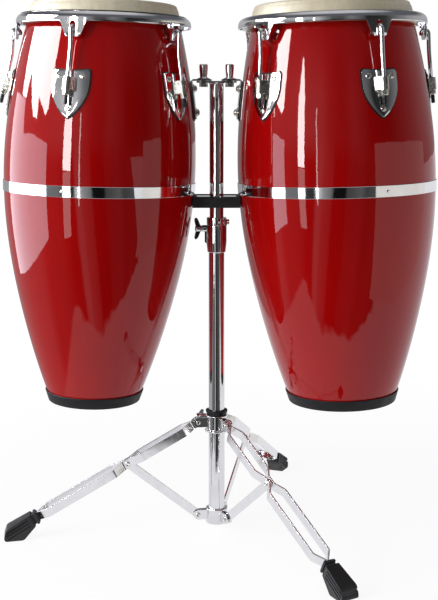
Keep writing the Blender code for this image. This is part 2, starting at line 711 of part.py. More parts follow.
# ---------------------------------------------------------------- tripod
def leg_collar():
    """The sliding collar: ring, bush, three clevises and the boss of its wing bolt."""
    flange, flange_tall = COLLAR_RADIUS + 0.002, 0.003
    section = [
        (COLLAR_BORE, COLLAR_BOTTOM), (flange, COLLAR_BOTTOM), (flange, COLLAR_BOTTOM + flange_tall),
        (COLLAR_RADIUS, COLLAR_BOTTOM + flange_tall + 0.001), (COLLAR_RADIUS, COLLAR_TOP),
        (COLLAR_RADIUS - 0.002, COLLAR_TOP), (COLLAR_RADIUS + 0.0005, COLLAR_BUSH_TOP),
        (COLLAR_BORE, COLLAR_BUSH_TOP),
    ]
    ring = revolve(section, even_angles(POLE_SEGMENTS))
    turn = Matrix.Rotation(COLLAR_WING_AZIMUTH, 4, "Z") @ Matrix.Translation((0, 0, COLLAR_WING_Z))
    ears = clevises(LEG_PIVOT_Z, 0.017, LEG_EAR_INNER)
    joined = combine("leg_collar", ring, [moved(boss(0.0165, COLLAR_BOSS_FACE), turn), *ears])
    bore = moved(rod(BOSS_BORE, 0.0170, 0.03), turn)
    return combine("leg_collar", from_mesh(joined), [bore], "DIFFERENCE")


def leg_line():
    """The line of one strip of a leg, seen from above: joined, open, pinched at M, open, joined."""
    start, joined, ramp, pinch, foot_part = -0.007, 0.012, 0.018, 0.0085, 0.0235
    return [
        (start, JOINED_HALF), (joined, JOINED_HALF),
        (joined + ramp, UPPER_LOOP_HALF), (LEG_TO_MID - pinch - ramp, UPPER_LOOP_HALF),
        (LEG_TO_MID - pinch, PINCH_HALF), (LEG_TO_MID + pinch, PINCH_HALF),
        (LEG_TO_MID + pinch + ramp, LOWER_LOOP_HALF), (LEG_END - foot_part - ramp, LOWER_LOOP_HALF),
        (LEG_END - foot_part, JOINED_HALF), (LEG_END, JOINED_HALF),
    ]


def leg():
    """Two bent steel strips joined at both ends, along +x from pivot A, with a rivet head on each at M."""
    half = STRIP_THICKNESS / 2
    strips = []
    for side in (1, -1):
        line = [(x, side * y) for x, y in leg_line()]
        strips.append(prism(ribbon(line, half), -STRIP_HALF_TALL, STRIP_HALF_TALL))
    low, high = PINCH_HALF + half - 0.001, PINCH_HALF + half + 0.0015
    rivets = [rod(RIVET_RADIUS, low * side, high * side, "xzy", 10) for side in (1, -1)]
    for rivet in rivets:
        moved(rivet, Matrix.Translation((LEG_TO_MID, 0, 0)))
    joined = combine("leg", strips[0], [strips[1], *rivets])
    return combine("leg", from_mesh(joined), [rod(PIN_HOLE, -0.01, 0.01, "xzy")], "DIFFERENCE")


def brace():
    """A flat bar along +x from pivot B, with round ends and a hole at each pivot."""
    outline = arc((0, 0), STRIP_HALF_TALL, 90, 270, 4) + arc((BRACE_LENGTH, 0), STRIP_HALF_TALL, -90, 90, 4)
    bar = prism(outline, -STRIP_THICKNESS / 2, STRIP_THICKNESS / 2, "xzy")
    holes = [rod(PIN_HOLE, -0.01, 0.01, "xzy"), rod(PIN_HOLE, -0.01, 0.01, "xzy")]
    moved(holes[1], Matrix.Translation((BRACE_LENGTH, 0, 0)))
    return combine("brace", bar, holes, "DIFFERENCE")


def foot():
    """A rubber foot over the leg's end, in the leg station's frame, with its sole flat on the ground."""
    to_leg = Matrix.Translation((PIVOT_RADIUS, 0, LEG_PIVOT_Z)) @ Matrix.Rotation(LEG_ANGLE, 4, "Y")
    neck = [to_leg @ Vector((LEG_END - FOOT_OVERLAP, 0, side * 0.0100)) for side in (1, -1)]
    toe = to_leg @ Vector((LEG_END + FOOT_BEYOND, 0, 0.0105))
    outline = [(neck[0].x, neck[0].z), (toe.x, toe.z), (toe.x + 0.005, GROUND_Z + 0.005)]
    outline += [(toe.x + 0.002, GROUND_Z), (toe.x - SOLE_LENGTH, GROUND_Z), (neck[1].x, neck[1].z)]
    bm = prism(outline, -1, 1, "xzy")
    for v in bm.verts:
        share = (v.co.x - neck[1].x) / (toe.x - neck[1].x)
        v.co.y *= FOOT_NECK_HALF + (FOOT_TOE_HALF - FOOT_NECK_HALF) * min(max(share, 0.0), 1.0)
    half = Vector((0, JOINED_HALF + STRIP_THICKNESS / 2 + GAP, STRIP_HALF_TALL + GAP))
    pocket = box(-half, half + Vector((LEG_END + GAP, 0, 0)))
    return combine("foot", bm, [moved(pocket, to_leg)], "DIFFERENCE")


def build_stand():
    base = empty("stand_base")
    collar_axis = empty("collar_slide", base, (0, 0, LEG_PIVOT_Z))
    place("lower_tube", lower_tube(), "chrome", base)
    place("leg_collar", leg_collar(), "chrome", collar_axis, (0, 0, -LEG_PIVOT_Z))
    wing_spot = (-HEIGHT_BOSS_FACE - GAP, 0, HEIGHT_WING_Z)
    place("height_wing_bolt", wing_bolt(WING_REACH), "chrome", base, wing_spot, (0, 0, math.pi))
    azimuth = Matrix.Rotation(COLLAR_WING_AZIMUTH, 4, "Z")
    wing_spot = azimuth @ Vector((COLLAR_BOSS_FACE + GAP, 0, COLLAR_WING_Z))
    turn = azimuth @ Matrix.Rotation(math.radians(70), 4, "X")
    place("collar_wing_bolt", wing_bolt(WING_REACH), "chrome", base, wing_spot, turn.to_euler())
    leg_mesh, brace_mesh, foot_mesh = leg(), brace(), foot()
    leg_spot, brace_spot = (PIVOT_RADIUS, 0, LEG_PIVOT_Z), (PIVOT_RADIUS, 0, BRACE_PIVOT_Z)
    for side, azimuth in LEG_AZIMUTHS.items():
        station = empty(side + "_leg_station", base, rotation=(0, 0, azimuth))
        place(side + "_leg", leg_mesh, "chrome", station, leg_spot, (0, LEG_ANGLE, 0))
        place(side + "_brace", brace_mesh, "chrome", station, brace_spot, (0, -BRACE_ANGLE, 0))
        place(side + "_foot", foot_mesh, "black_rubber", station)
    return base


def build_upper(base):
    upper = empty("height_slide", base)
    place("memory_lock", memory_lock(), "chrome", base)
    place("upper_tube", upper_tube(), "chrome", upper)
    for side, drum in DRUMS.items():
        build_drum(side, drum, upper)
        spot = (math.copysign(MOUNT_BOLT_X, drum["axis_x"]), 0, CROSSBAR_TOP + PLATE + 2 * GAP)
        place(side + "_mount_bolt", mount_bolt(), "chrome", upper, spot)
    bpy.context.view_layer.update()
    frames = {side: bpy.data.objects[side + "_drum"].matrix_world.copy() for side in DRUMS}
    place("saddle_pad", saddle_pad(frames), "black_rubber", upper)


clear_scene()
build_upper(build_stand())
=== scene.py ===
"""The looks of two conga drums on a folding double stand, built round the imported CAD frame.

Metres, in the CAD frame: the origin is the centre of the pole's flat bottom end, +Z is up, +X points
to the larger drum and -Y to the player. Each drum has its own frame, with z up its axis from the bottom
rim and x towards the pole. A tuning station's frame is the drum's, turned so that x points out to it.
"""

import json
from math import atan2, cos, hypot, pi, radians, remainder, sin, sqrt, tau

import bmesh
import bpy
import numpy as np
from mathutils import Matrix, Vector, noise


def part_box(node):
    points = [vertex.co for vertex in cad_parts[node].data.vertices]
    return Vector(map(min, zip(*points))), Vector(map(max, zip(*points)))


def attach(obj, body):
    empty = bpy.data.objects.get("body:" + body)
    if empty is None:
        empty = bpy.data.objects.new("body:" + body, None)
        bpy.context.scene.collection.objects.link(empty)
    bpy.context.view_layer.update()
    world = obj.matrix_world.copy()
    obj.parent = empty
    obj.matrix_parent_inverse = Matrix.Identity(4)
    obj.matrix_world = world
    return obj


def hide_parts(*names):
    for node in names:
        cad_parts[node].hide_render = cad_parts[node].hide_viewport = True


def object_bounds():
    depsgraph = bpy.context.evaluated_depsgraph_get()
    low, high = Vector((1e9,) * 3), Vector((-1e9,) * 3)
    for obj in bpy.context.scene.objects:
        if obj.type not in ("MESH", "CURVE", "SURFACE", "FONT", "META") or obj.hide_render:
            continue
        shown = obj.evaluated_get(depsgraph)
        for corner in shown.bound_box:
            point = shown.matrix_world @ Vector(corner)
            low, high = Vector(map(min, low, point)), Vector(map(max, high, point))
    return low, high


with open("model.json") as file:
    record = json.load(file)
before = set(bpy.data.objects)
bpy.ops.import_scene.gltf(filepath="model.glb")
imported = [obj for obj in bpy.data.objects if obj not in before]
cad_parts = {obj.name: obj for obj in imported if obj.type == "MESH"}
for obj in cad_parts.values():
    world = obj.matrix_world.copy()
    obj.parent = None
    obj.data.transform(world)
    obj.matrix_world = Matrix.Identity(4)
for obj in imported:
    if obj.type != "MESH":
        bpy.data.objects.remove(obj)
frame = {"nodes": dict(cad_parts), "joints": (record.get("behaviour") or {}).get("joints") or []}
cad_low, cad_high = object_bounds()

# ---------------------------------------------------------------- driving dimensions
GAP = 0.0004
SIDES = ("left", "right")
DRUM_STEPS = 240
SHELL_WALL = 0.009
SKIN = 0.002
BEARING_EDGE = 0.004
BAND_THICKNESS = 0.001
RING_THICKNESS = 0.0025
TACK_AZIMUTHS = {"left": radians(-106), "right": radians(113)}

STATIONS = 5
FIRST_STATION = radians(40)
STATION_ANGLES = [FIRST_STATION + tau * k / STATIONS for k in range(STATIONS)]
RIM_STEEL = 0.003
RIM_ROLL = 0.0135
FLANGE_BELOW_TOP = 0.0274
EAR_DROP = 0.027
EAR_FLAT_HALF = 0.0105
EAR_HALF = 0.026
SLOT_ABOVE_EAR = 0.010
SLOT_HALF = 0.0052
SLOT_TALL = 0.018

ROD_RADIUS = 0.0039
ROD_BEND_HEIGHT = 0.615
STRAP_HEIGHT = 0.564
STRAP_HALF_TALL = 0.011
STRAP_OUTER = 0.0080
STRAP_INNER = 0.0055
STRAP_BASE_HALF = 0.014
THREAD_PITCH = 0.00125
NUT_FLATS = 0.0115
NUT_TALL = 0.009
LUG_HALF = 0.033
LUG_TOP = 0.588
LUG_BOTTOM = 0.507
LUG_WIDEST = 0.72
LUG_SCREWS = ((-0.0215, 0.5765), (0.0215, 0.5765), (0.0, 0.5215))
GASKET = 0.0014
PLATE_LIFT = 0.0042

PLATE = 0.003
UPPER_TUBE = 0.0127
UPPER_BORE = 0.0107
LOWER_TUBE = 0.0143
LOWER_BORE = 0.0131
COLLAR_BORE = 0.0147
COLLAR_RADIUS = 0.0193
LOCK_RADIUS = 0.018
LOCK_EAR_AZIMUTH = radians(-62)
BRACKET_BOLT_HEIGHTS = (0.520, 0.563)
LEG_SIDES = ("left", "front", "back")
STRIP_THICKNESS = 0.003
STRIP_HALF_TALL = 0.0075
STEEL_EDGE = 0.0005


# ---------------------------------------------------------------- measures taken from the frame
def joint(name):
    return next(j for j in frame["joints"] if j["name"] == name)


def leg_azimuth(side):
    x, y, _ = joint(side + "_leg_pivot")["pos_m"]
    return atan2(y, x)


def node_points(node, matrix=Matrix()):
    """The node's vertices, in the frame that matrix places in the world."""
    to_local = np.array(matrix.inverted())
    points = np.array([v.co for v in frame["nodes"][node].data.vertices])
    return points @ to_local[:3, :3].T + to_local[:3, 3]


def shift(x, y, z):
    return Matrix.Translation((x, y, z))


def spin(angle, axis="Z"):
    return Matrix.Rotation(angle, 4, axis)


def axes_frame(origin, x, z):
    """A frame at origin with its z axis along z, and its x axis as near x as that allows."""
    z = Vector(z).normalized()
    x = (Vector(x) - z * z.dot(Vector(x))).normalized()
    made = Matrix((x, z.cross(x), z)).transposed().to_4x4()
    made.translation = origin
    return made


class Drum:
    """One drum's frame, and the curves and places that its pieces share."""

    def __init__(self, side):
        self.side = side
        up = -Vector(joint(side + "_tension")["axis"])
        ring = node_points(side + "_bottom_ring")
        centre = Vector(ring.mean(axis=0))
        low = min((Vector(p) - centre).dot(up) for p in ring)
        self.frame = axes_frame(centre + up * low, (-centre.x, 0, 0), up)
        self.curve = self.fitted_curve()
        self.top = self.heights("head")[1]
        self.foot, self.shell_top = self.heights("shell")
        self.rim_low, self.rim_top = self.heights("rim")
        rim = node_points(side + "_rim", self.frame)
        self.rim_radius = np.hypot(rim[:, 0], rim[:, 1]).max()

    def heights(self, node):
        points = node_points(f"{self.side}_{node}", self.frame)
        return float(points[:, 2].min()), float(points[:, 2].max())

    def fitted_curve(self):
        """A smooth curve through the outside of the CAD shell's rings, leaving out its bearing edge."""
        radii = {}
        for x, y, z in node_points(self.side + "_shell", self.frame):
            level = round(z, 4)
            radii[level] = max(radii.get(level, 0.0), hypot(x, y))
        levels = sorted(radii)[:-1]
        return np.polyfit(levels, [radii[level] for level in levels], 6)

    def radius(self, height):
        return float(np.polyval(self.curve, height))

    def outside(self, low, high, count, lift):
        """Points of a profile up the shell, lifted off it."""
        return [(self.radius(h) + lift, h) for h in between(low, high, count)]

    def dress(self, name, mesh, node=None, body="upper", bevel=0.0):
        """A piece in the drum's frame, in place of the CAD node that it stands for."""
        replaces = [f"{self.side}_{node}"] if node else ()
        piece(f"{self.side}_{name}", mesh, body, self.frame, replaces, bevel)

    def on_shell(self, along, height, lift):
        """The point that far round the shell from the x axis, at that height and lift off the surface."""
        radius = self.radius(height)
        angle = along / radius
        return Vector(((radius + lift) * cos(angle), (radius + lift) * sin(angle), height))

    def shell_spot(self, along, height, lift):
        """A frame on the shell with z pointing straight out and x pointing up."""
        out = self.on_shell(along, height, 1) - self.on_shell(along, height, 0)
        slope = (self.radius(height + 0.005) - self.radius(height - 0.005)) / 0.01
        out.z = -slope * out.length
        return axes_frame(self.on_shell(along, height, lift), (0, 0, 1), out)


# ---------------------------------------------------------------- shader nodes and materials
def node(tree, kind, inputs, **settings):
    """A shader node. Each input is set to a value, or joined to the socket given for it."""
    made = tree.nodes.new("ShaderNode" + kind)
    for name, value in settings.items():
        setattr(made, name, value)
    for name, value in inputs.items():
        feed(tree, made.inputs[name], value)
    return made


def feed(tree, socket, value):
    if isinstance(value, bpy.types.NodeSocket):
        tree.links.new(value, socket)
    else:
        socket.default_value = (*value, 1.0) if socket.type == "RGBA" else value


def ramp(tree, value, start, stop, low=0.0, high=1.0):
    """low below start, high above stop, and a straight run between them."""
    inputs = {"Value": value, "From Min": start, "From Max": stop, "To Min": low, "To Max": high}
    return node(tree, "MapRange", inputs).outputs["Result"]


def grain(tree, scale, low, high, stretch=(1, 1, 1), detail=4.0):
    """A value that wanders from low to high over the object, in its own coordinates."""
    place = node(tree, "TexCoord", {}).outputs["Object"]
    stretched = node(tree, "Mapping", {"Vector": place, "Scale": stretch}).outputs["Vector"]
    texture = node(tree, "TexNoise", {"Vector": stretched, "Scale": scale, "Detail": detail})
    return ramp(tree, texture.outputs["Fac"], 0.3, 0.7, low, high)


def tint(tree, share, first, second):
    """The colour that runs from first to second with the share. Either may be a socket."""
    made = tree.nodes.new("ShaderNodeMix")
    made.data_type = "RGBA"
    for name, value in (("Factor", share), ("A", first), ("B", second)):
        feed(tree, made.inputs[name], value)
    return made.outputs["Result"]


def relief(tree, shader, height, depth):
    bump = node(tree, "Bump", {"Strength": 1.0, "Distance": depth, "Height": height})
    tree.links.new(bump.outputs["Normal"], shader.inputs["Normal"])


def new_material(name, **inputs):
    """A Principled material with those inputs, its node tree and its shader."""
    material = bpy.data.materials.new(name)
    material.use_nodes = True
    tree = material.node_tree
    shader = tree.nodes["Principled BSDF"]
    for key, value in inputs.items():
        feed(tree, shader.inputs[key.replace("_", " ")], value)
    return material, tree, shader


def finish(tree, shader, colour, roughness, bump=None):
    """Joins the colour, the roughness that wanders at a scale, and the bump at a scale, detail and depth."""
    feed(tree, shader.inputs["Base Color"], colour)
    feed(tree, shader.inputs["Roughness"], grain(tree, *roughness))
    if bump:
        scale, detail, depth = bump
        relief(tree, shader, grain(tree, scale, 0, 1, detail=detail), depth)


def red_lacquer():
    """Deep red lacquer over a ribbed shell: a mirror-like skin, with the body colour a little uneven."""
    material, tree, shader = new_material("red_lacquer", IOR=1.45)
    clouds = tint(tree, grain(tree, 3.0, 0, 1), (0.395, 0.0026, 0.0026), (0.335, 0.0016, 0.0018))
    staves = grain(tree, 60.0, 0, 0.35, stretch=(1, 1, 0.02))
    colour = tint(tree, staves, clouds, (0.290, 0.0012, 0.0016))
    finish(tree, shader, colour, (9.0, 0.018, 0.045), (45.0, 1.0, 0.00004))
    return material


def bare_wood():
    """The unpainted inside of a shell."""
    material, tree, shader = new_material("bare_wood", Roughness=0.6)
    lines = grain(tree, 90.0, 0, 1, stretch=(1, 1, 0.03))
    feed(tree, shader.inputs["Base Color"], tint(tree, lines, (0.46, 0.30, 0.17), (0.30, 0.18, 0.09)))
    relief(tree, shader, lines, 0.0002)
    return material


def black_rubber():
    """Matt moulded rubber, dusty in places, with a painted highlight along its edges."""
    material, tree, shader = new_material("black_rubber", Specular_IOR_Level=0.3)
    dust = tint(tree, grain(tree, 40.0, 0, 1), (0.003, 0.003, 0.004), (0.007, 0.007, 0.008))
    # Painted highlight: the colour turns paler where the surface is convex, along its edges.
    edge = ramp(tree, node(tree, "NewGeometry", {}).outputs["Pointiness"], 0.52, 0.62)
    colour = tint(tree, edge, dust, (0.030, 0.030, 0.031))
    finish(tree, shader, colour, (80.0, 0.42, 0.62), (900.0, 4.0, 0.00005))
    return material


def natural_skin():
    """Cream hide: mottled, with fine fibres, darker stains and a faint translucency."""
    material, tree, shader = new_material("natural_skin", Subsurface_Weight=0.15, Subsurface_Scale=1.0,
                                          Subsurface_Radius=(0.004, 0.003, 0.002))
    mottle = tint(tree, grain(tree, 9.0, 0, 1, detail=8.0), (0.79, 0.73, 0.57), (0.64, 0.56, 0.40))
    flecks = grain(tree, 140.0, 0, 0.4, stretch=(1, 1, 0.4), detail=8.0)
    colour = tint(tree, flecks, mottle, (0.56, 0.47, 0.33))
    finish(tree, shader, colour, (30.0, 0.38, 0.60), (260.0, 8.0, 0.0002))
    return material


# The scale and detail of the colour's grain, its two colours, the roughness's scale, low and high, and the
# bump's scale, detail and depth. Chrome is smudged and a little wavy, nickel is softer and warmer, strip is
# the thinner plate of the flat bars, a cut edge is dull, and an oiled thread is dark.
METALS = {
    "chrome": (35.0, 4.0, (0.84, 0.84, 0.85), (0.74, 0.74, 0.75), (60.0, 0.03, 0.09), (70.0, 1.0, 0.00003)),
    "nickel": (120.0, 4.0, (0.74, 0.72, 0.66), (0.55, 0.53, 0.47), (200.0, 0.12, 0.28),
               (400.0, 4.0, 0.00002)),
    "cut_edge": (300.0, 4.0, (0.84, 0.84, 0.85), (0.66, 0.66, 0.67), (200.0, 0.40, 0.55), None),
    "plated_strip": (45.0, 8.0, (0.88, 0.88, 0.89), (0.82, 0.82, 0.83), (90.0, 0.09, 0.17),
                     (60.0, 1.0, 0.00002)),
    "oiled_thread": (500.0, 4.0, (0.10, 0.10, 0.10), (0.03, 0.03, 0.03), (300.0, 0.25, 0.45), None),
}


def metal(name):
    scale, detail, first, second, roughness, bump = METALS[name]
    material, tree, shader = new_material(name, Metallic=1.0)
    finish(tree, shader, tint(tree, grain(tree, scale, 0, 1, detail=detail), first, second), roughness, bump)
    return material


MATERIALS = {make.__name__: make() for make in (red_lacquer, bare_wood, black_rubber, natural_skin)}
MATERIALS.update({name: metal(name) for name in METALS})
OWN_SLOTS = ("red_lacquer", "black_rubber", "natural_skin")


# ---------------------------------------------------------------- mesh tools
def baked(bm):
    """bm as a mesh, with its faces pointing out."""
    bmesh.ops.recalc_face_normals(bm, faces=bm.faces)
    mesh = bpy.data.meshes.new("shape")
    bm.to_mesh(mesh)
    bm.free()
    return mesh


def to_mesh(bm, *materials, sharp=38):
    """The mesh of bm, with its materials, shaded smooth up to the sharp angle."""
    mesh = baked(bm)
    for material in materials:
        mesh.materials.append(MATERIALS[material])
    mesh["slot"] = materials[0] if materials[0] in OWN_SLOTS else "chrome"
    mesh.shade_smooth()
    mesh.set_sharp_from_angle(angle=radians(sharp))
    return mesh


def linked(name, data):
    """A new object in the scene."""
    obj = bpy.data.objects.new(name, data)
    bpy.context.scene.collection.objects.link(obj)
    return obj


def piece(name, mesh, body, at=Matrix(), replaces=(), bevel=0.0):
    """A named piece in place, riding on its body, in place of the CAD nodes that it replaces."""
    placed = mesh.copy()
    placed.transform(at)
    obj = linked(name, placed)
    if bevel:
        edge = obj.modifiers.new("edge", "BEVEL")
        edge.width = bevel
        edge.segments = 3
        edge.limit_method = "ANGLE"
        edge.angle_limit = radians(38)
        edge.harden_normals = True
    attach(obj, body)
    if replaces:
        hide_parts(*replaces)


def surface(rows, around=False, through=False, capped=False):
    """A mesh over rows of points. around closes each row into a ring, through joins the last row to the
    first, and capped fills the first and last rings. A row of one point is a tip."""
    bm = bmesh.new()
    made = [[bm.verts.new(point) for point in row] for row in rows]
    pairs = list(zip(made, made[1:]))
    if through:
        pairs.append((made[-1], made[0]))
    for low, high in pairs:
        steps = max(len(low), len(high)) - (0 if around else 1)
        for i in range(steps):
            below = [low[i % len(low)], low[(i + 1) % len(low)]]
            above = [high[(i + 1) % len(high)], high[i % len(high)]]
            bm.faces.new(list(dict.fromkeys(below + above)))
    if capped:
        bm.faces.new(made[0][::-1])
        bm.faces.new(made[-1])
    return bm


def slab(inner, outer):
    """A solid between two like grids of points."""
    bm = bmesh.new()
    inner, outer = [[[bm.verts.new(point) for point in line] for line in grid] for grid in (inner, outer)]
    rows, columns = len(inner) - 1, len(inner[0]) - 1
    for grid in (inner, outer):
        for near, far in zip(grid, grid[1:]):
            for i in range(columns):
                bm.faces.new((near[i], near[i + 1], far[i + 1], far[i]))
    edge = [(0, i) for i in range(columns)] + [(j, columns) for j in range(rows)]
    edge += [(rows, i) for i in range(columns, 0, -1)] + [(j, 0) for j in range(rows, 0, -1)]
    for (j, i), (next_j, next_i) in zip(edge, edge[1:] + edge[:1]):
        bm.faces.new((inner[j][i], inner[next_j][next_i], outer[next_j][next_i], outer[j][i]))
    return bm


def lathe(profile, steps, closed=True):
    """A solid of revolution about z from (radius, height) points. An open profile ends on the axis."""
    turns = [tau * i / steps for i in range(steps)]
    rows = []
    for radius, height in profile:
        ring = [(radius * cos(a), radius * sin(a), height) for a in turns]
        rows.append([(0, 0, height)] if radius == 0 else ring)
    return surface(rows, around=True, through=closed)


def turned_solid(corners, radius, rounding, steps, closed=True):
    """A solid of revolution whose profile has rounded corners."""
    return lathe(rounded(corners, radius, rounding, closed), steps, closed)


def tube(inner, outer, low, high, radius, rounding, steps):
    """A round tube or washer about z with rounded edges, or a disc when inner is 0."""
    corners = [(inner, low), (outer, low), (outer, high), (inner, high)]
    return turned_solid(corners, radius, rounding, steps, closed=inner > 0)


def rounded(points, radius, steps=3, closed=True):
    """The 2-D outline with each corner turned into a short curve. The ends of an open line stay."""
    out = []
    for i, point in enumerate(points):
        corner = Vector(point)
        if not closed and i in (0, len(points) - 1):
            out.append((corner.x, corner.y))
            continue
        before = Vector(points[i - 1]) - corner
        after = Vector(points[(i + 1) % len(points)]) - corner
        start = corner + before.normalized() * min(radius, before.length * 0.46)
        end = corner + after.normalized() * min(radius, after.length * 0.46)
        for t in between(0, 1, steps + 1):
            spot = start * (1 - t) ** 2 + corner * 2 * t * (1 - t) + end * t * t
            out.append((spot.x, spot.y))
    return out


def arc(centre, radius, start, stop, steps):
    """Points on an arc, start and stop in degrees."""
    turns = [radians(start + (stop - start) * i / steps) for i in range(steps + 1)]
    return [(centre[0] + radius * cos(t), centre[1] + radius * sin(t)) for t in turns]


def between(low, high, count):
    return [low + (high - low) * i / (count - 1) for i in range(count)]


def prism(outline, low, high, axes="xyz"):
    """The outline, in the first two axes, extruded along the third from low to high."""
    order = [axes.index(axis) for axis in "xyz"]
    rows = [[[(p, q, height)[i] for i in order] for p, q in outline] for height in (low, high)]
    return surface(rows, around=True, capped=True)


def box(low, high):
    outline = [(low[0], low[1]), (high[0], low[1]), (high[0], high[1]), (low[0], high[1])]
    return prism(outline, low[2], high[2])


def moved(bm, matrix):
    bmesh.ops.transform(bm, matrix=matrix, verts=bm.verts)
    return bm


def joined(*groups):
    """One bmesh from several lists of them. Each list's faces get its own material number, in order."""
    whole = bmesh.new()
    for number, parts in enumerate(groups):
        for part in parts:
            for face in part.faces:
                face.material_index = number
            scratch = baked(part)
            whole.from_mesh(scratch)
            bpy.data.meshes.remove(scratch)
    return whole


def cut(solid, *cutters):
    """The solid less each of the cutters."""
    objects = [linked("scratch", baked(bm)) for bm in (solid, *cutters)]
    for cutter in objects[1:]:
        modifier = objects[0].modifiers.new("cut", "BOOLEAN")
        modifier.operation = "DIFFERENCE"
        modifier.object = cutter
    bpy.context.view_layer.update()
    mesh = bpy.data.meshes.new_from_object(objects[0].evaluated_get(bpy.context.evaluated_depsgraph_get()))
    out = bmesh.new()
    out.from_mesh(mesh)
    bpy.data.meshes.remove(mesh)
    for obj in objects:
        scratch = obj.data
        bpy.data.objects.remove(obj)
        bpy.data.meshes.remove(scratch)
    return out


def sweep(line, width, sides=16):
    """A round bar along a line of (x, z) points. width gives its radius from the distance run and the
    turn about the line."""
    points = [Vector((x, 0, z)) for x, z in line]
    turns = [tau * i / sides for i in range(sides)]
    rows = []
    run = 0.0
    for i, point in enumerate(points):
        ahead = points[min(i + 1, len(points) - 1)] - points[max(i - 1, 0)]
        across = Vector((ahead.z, 0, -ahead.x)).normalized()
        if i:
            run += (point - points[i - 1]).length
        rows.append([point + (across * cos(a) + Vector((0, 1, 0)) * sin(a)) * width(run, a) for a in turns])
    return surface(rows, around=True, capped=True)


def ribbon(line, half):
    """The outline of a strip of even thickness along a 2-D line."""
    left, right = [], []
    for i, (x, y) in enumerate(line):
        back = Vector(line[i]) - Vector(line[max(i - 1, 0)])
        ahead = Vector(line[min(i + 1, len(line) - 1)]) - Vector(line[i])
        way = back.normalized() + ahead.normalized()
        across = Vector((-way.y, way.x)).normalized()
        first = ahead if i == 0 else back
        reach = half / across.dot(Vector((-first.y, first.x)).normalized())
        left.append((x + across.x * reach, y + across.y * reach))
        right.append((x - across.x * reach, y - across.y * reach))
    return left + right[::-1]


def screw_head(radius, tall, recess=True):
    """A domed head on the z = 0 plane, with a cross recess."""
    dome = [(radius, -0.0004), (radius, tall * 0.25)]
    dome += [(radius * cos(t), tall * (0.25 + 0.75 * sin(t))) for t in between(0.2, 1.3, 6)]
    head = lathe([(0, -0.0004), *dome, (0, tall)], 24, closed=False)
    if not recess:
        return head
    half, wide = radius * 0.62, radius * 0.14
    low, high = tall * 0.35, tall * 2
    return cut(head, *[box((-x, -y, low), (x, y, high)) for x, y in ((half, wide), (wide, half))])


def rivet(radius, tall):
    """A hollow rivet's rolled head on the z = 0 plane."""
    hole = radius * 0.42
    section = [(0, -0.0005), (hole, -0.0005), (hole, tall * 0.5)]
    section += arc(((radius + hole) / 2, tall * 0.45), (radius - hole) / 2 - 0.0001, 170, 10, 6)
    return lathe([*section, (radius, 0.0), (radius, -0.0008), (0, -0.0008)], 24, closed=False)


# ---------------------------------------------------------------- drums
def build_shell(drum):
    """The lacquered shell, bare inside, with a rounded bearing edge."""
    shoulder = drum.shell_top - BEARING_EDGE
    edge_radius = drum.radius(shoulder)
    edge = [
        (edge_radius - BEARING_EDGE * (1 - cos(t)), shoulder + BEARING_EDGE * sin(t))
        for t in between(0.3, pi / 2, 5)
    ]
    outer = drum.outside(drum.foot, shoulder, 110, 0.0)
    inner = drum.outside(shoulder, drum.foot, 40, -SHELL_WALL)
    bm = lathe(outer + edge + inner, DRUM_STEPS)
    for face in bm.faces:
        spot = face.calc_center_median()
        face.material_index = int(hypot(spot.x, spot.y) < drum.radius(spot.z) - SHELL_WALL * 0.6)
    drum.dress("shell_lacquer", to_mesh(bm, "red_lacquer", "bare_wood"), "shell")


def build_band(drum):
    """The belly band, a thin polished strip whose seam is held by a round tack."""
    low, high = drum.heights("belly_band")
    section = drum.outside(low, high, 5, 0.0002)
    section += [(drum.radius(high) + BAND_THICKNESS, high)]
    section += [(drum.radius(h) + GAP + BAND_THICKNESS, h) for h in between(high - 0.0004, low + 0.0004, 7)]
    section += [(drum.radius(low) + BAND_THICKNESS, low)]
    middle = (low + high) / 2
    along = TACK_AZIMUTHS[drum.side] * drum.radius(middle)
    tack = moved(screw_head(0.0028, 0.0013, recess=False),
                 drum.shell_spot(along, middle, GAP + BAND_THICKNESS))
    drum.dress("band_chrome", to_mesh(joined([lathe(section, DRUM_STEPS), tack]), "chrome"), "belly_band")


def build_ring(drum):
    """The rubber channel round the bottom edge."""
    top = drum.heights("bottom_ring")[1]
    lip, foot, side = 0.010, drum.radius(drum.foot), drum.radius(top)
    in_shell, inside = foot - SHELL_WALL - GAP, foot - SHELL_WALL - RING_THICKNESS
    seat = drum.foot - GAP
    ring = turned_solid([
        (foot + RING_THICKNESS - 0.0004, 0.0), (side + RING_THICKNESS, top), (side + 0.0003, top),
        (foot + 0.0003, seat), (in_shell, seat), (in_shell, lip), (inside, lip), (inside, 0.0),
    ], 0.0014, 4, DRUM_STEPS)
    drum.dress("ring_rubber", to_mesh(ring, "black_rubber"), "bottom_ring")


def build_head(drum):
    """The hide: flat over the bearing edge, then puckered a little where the hoop pulls it down."""
    hoop_low, hoop_high, swell, turn = drum.top - 0.040, drum.top - 0.032, 0.008, 0.0065
    rest = drum.radius(drum.shell_top) + SKIN + GAP
    outer = [(0, drum.top), (0.040, drum.top), (0.080, drum.top)]
    outer += [
        (rest - turn * (1 - sin(t)), drum.top - turn * (1 - cos(t))) for t in between(0.0, pi / 2, 10)
    ]
    outer += [(drum.radius(h) + SKIN + GAP, h) for h in between(drum.top - turn - 0.002, hoop_high, 12)]
    hoop = drum.radius(hoop_high) + swell
    corner = [(hoop, hoop_high - 0.002), (hoop, hoop_low + 0.001), (hoop - 0.002, hoop_low)]
    outer += rounded(corner, 0.001, 2)
    inner = drum.outside(hoop_low, drum.shell_top - BEARING_EDGE, 8, 0.0003)
    under = drum.top - SKIN
    inner += [(drum.radius(drum.shell_top) - BEARING_EDGE + GAP, under), (0, under)]
    bm = lathe(outer + inner, DRUM_STEPS, closed=False)
    for vert in bm.verts:
        pucker(vert.co, drum.top - vert.co.z, rest)
    drum.dress("head_hide", to_mesh(bm, "natural_skin"), "head")


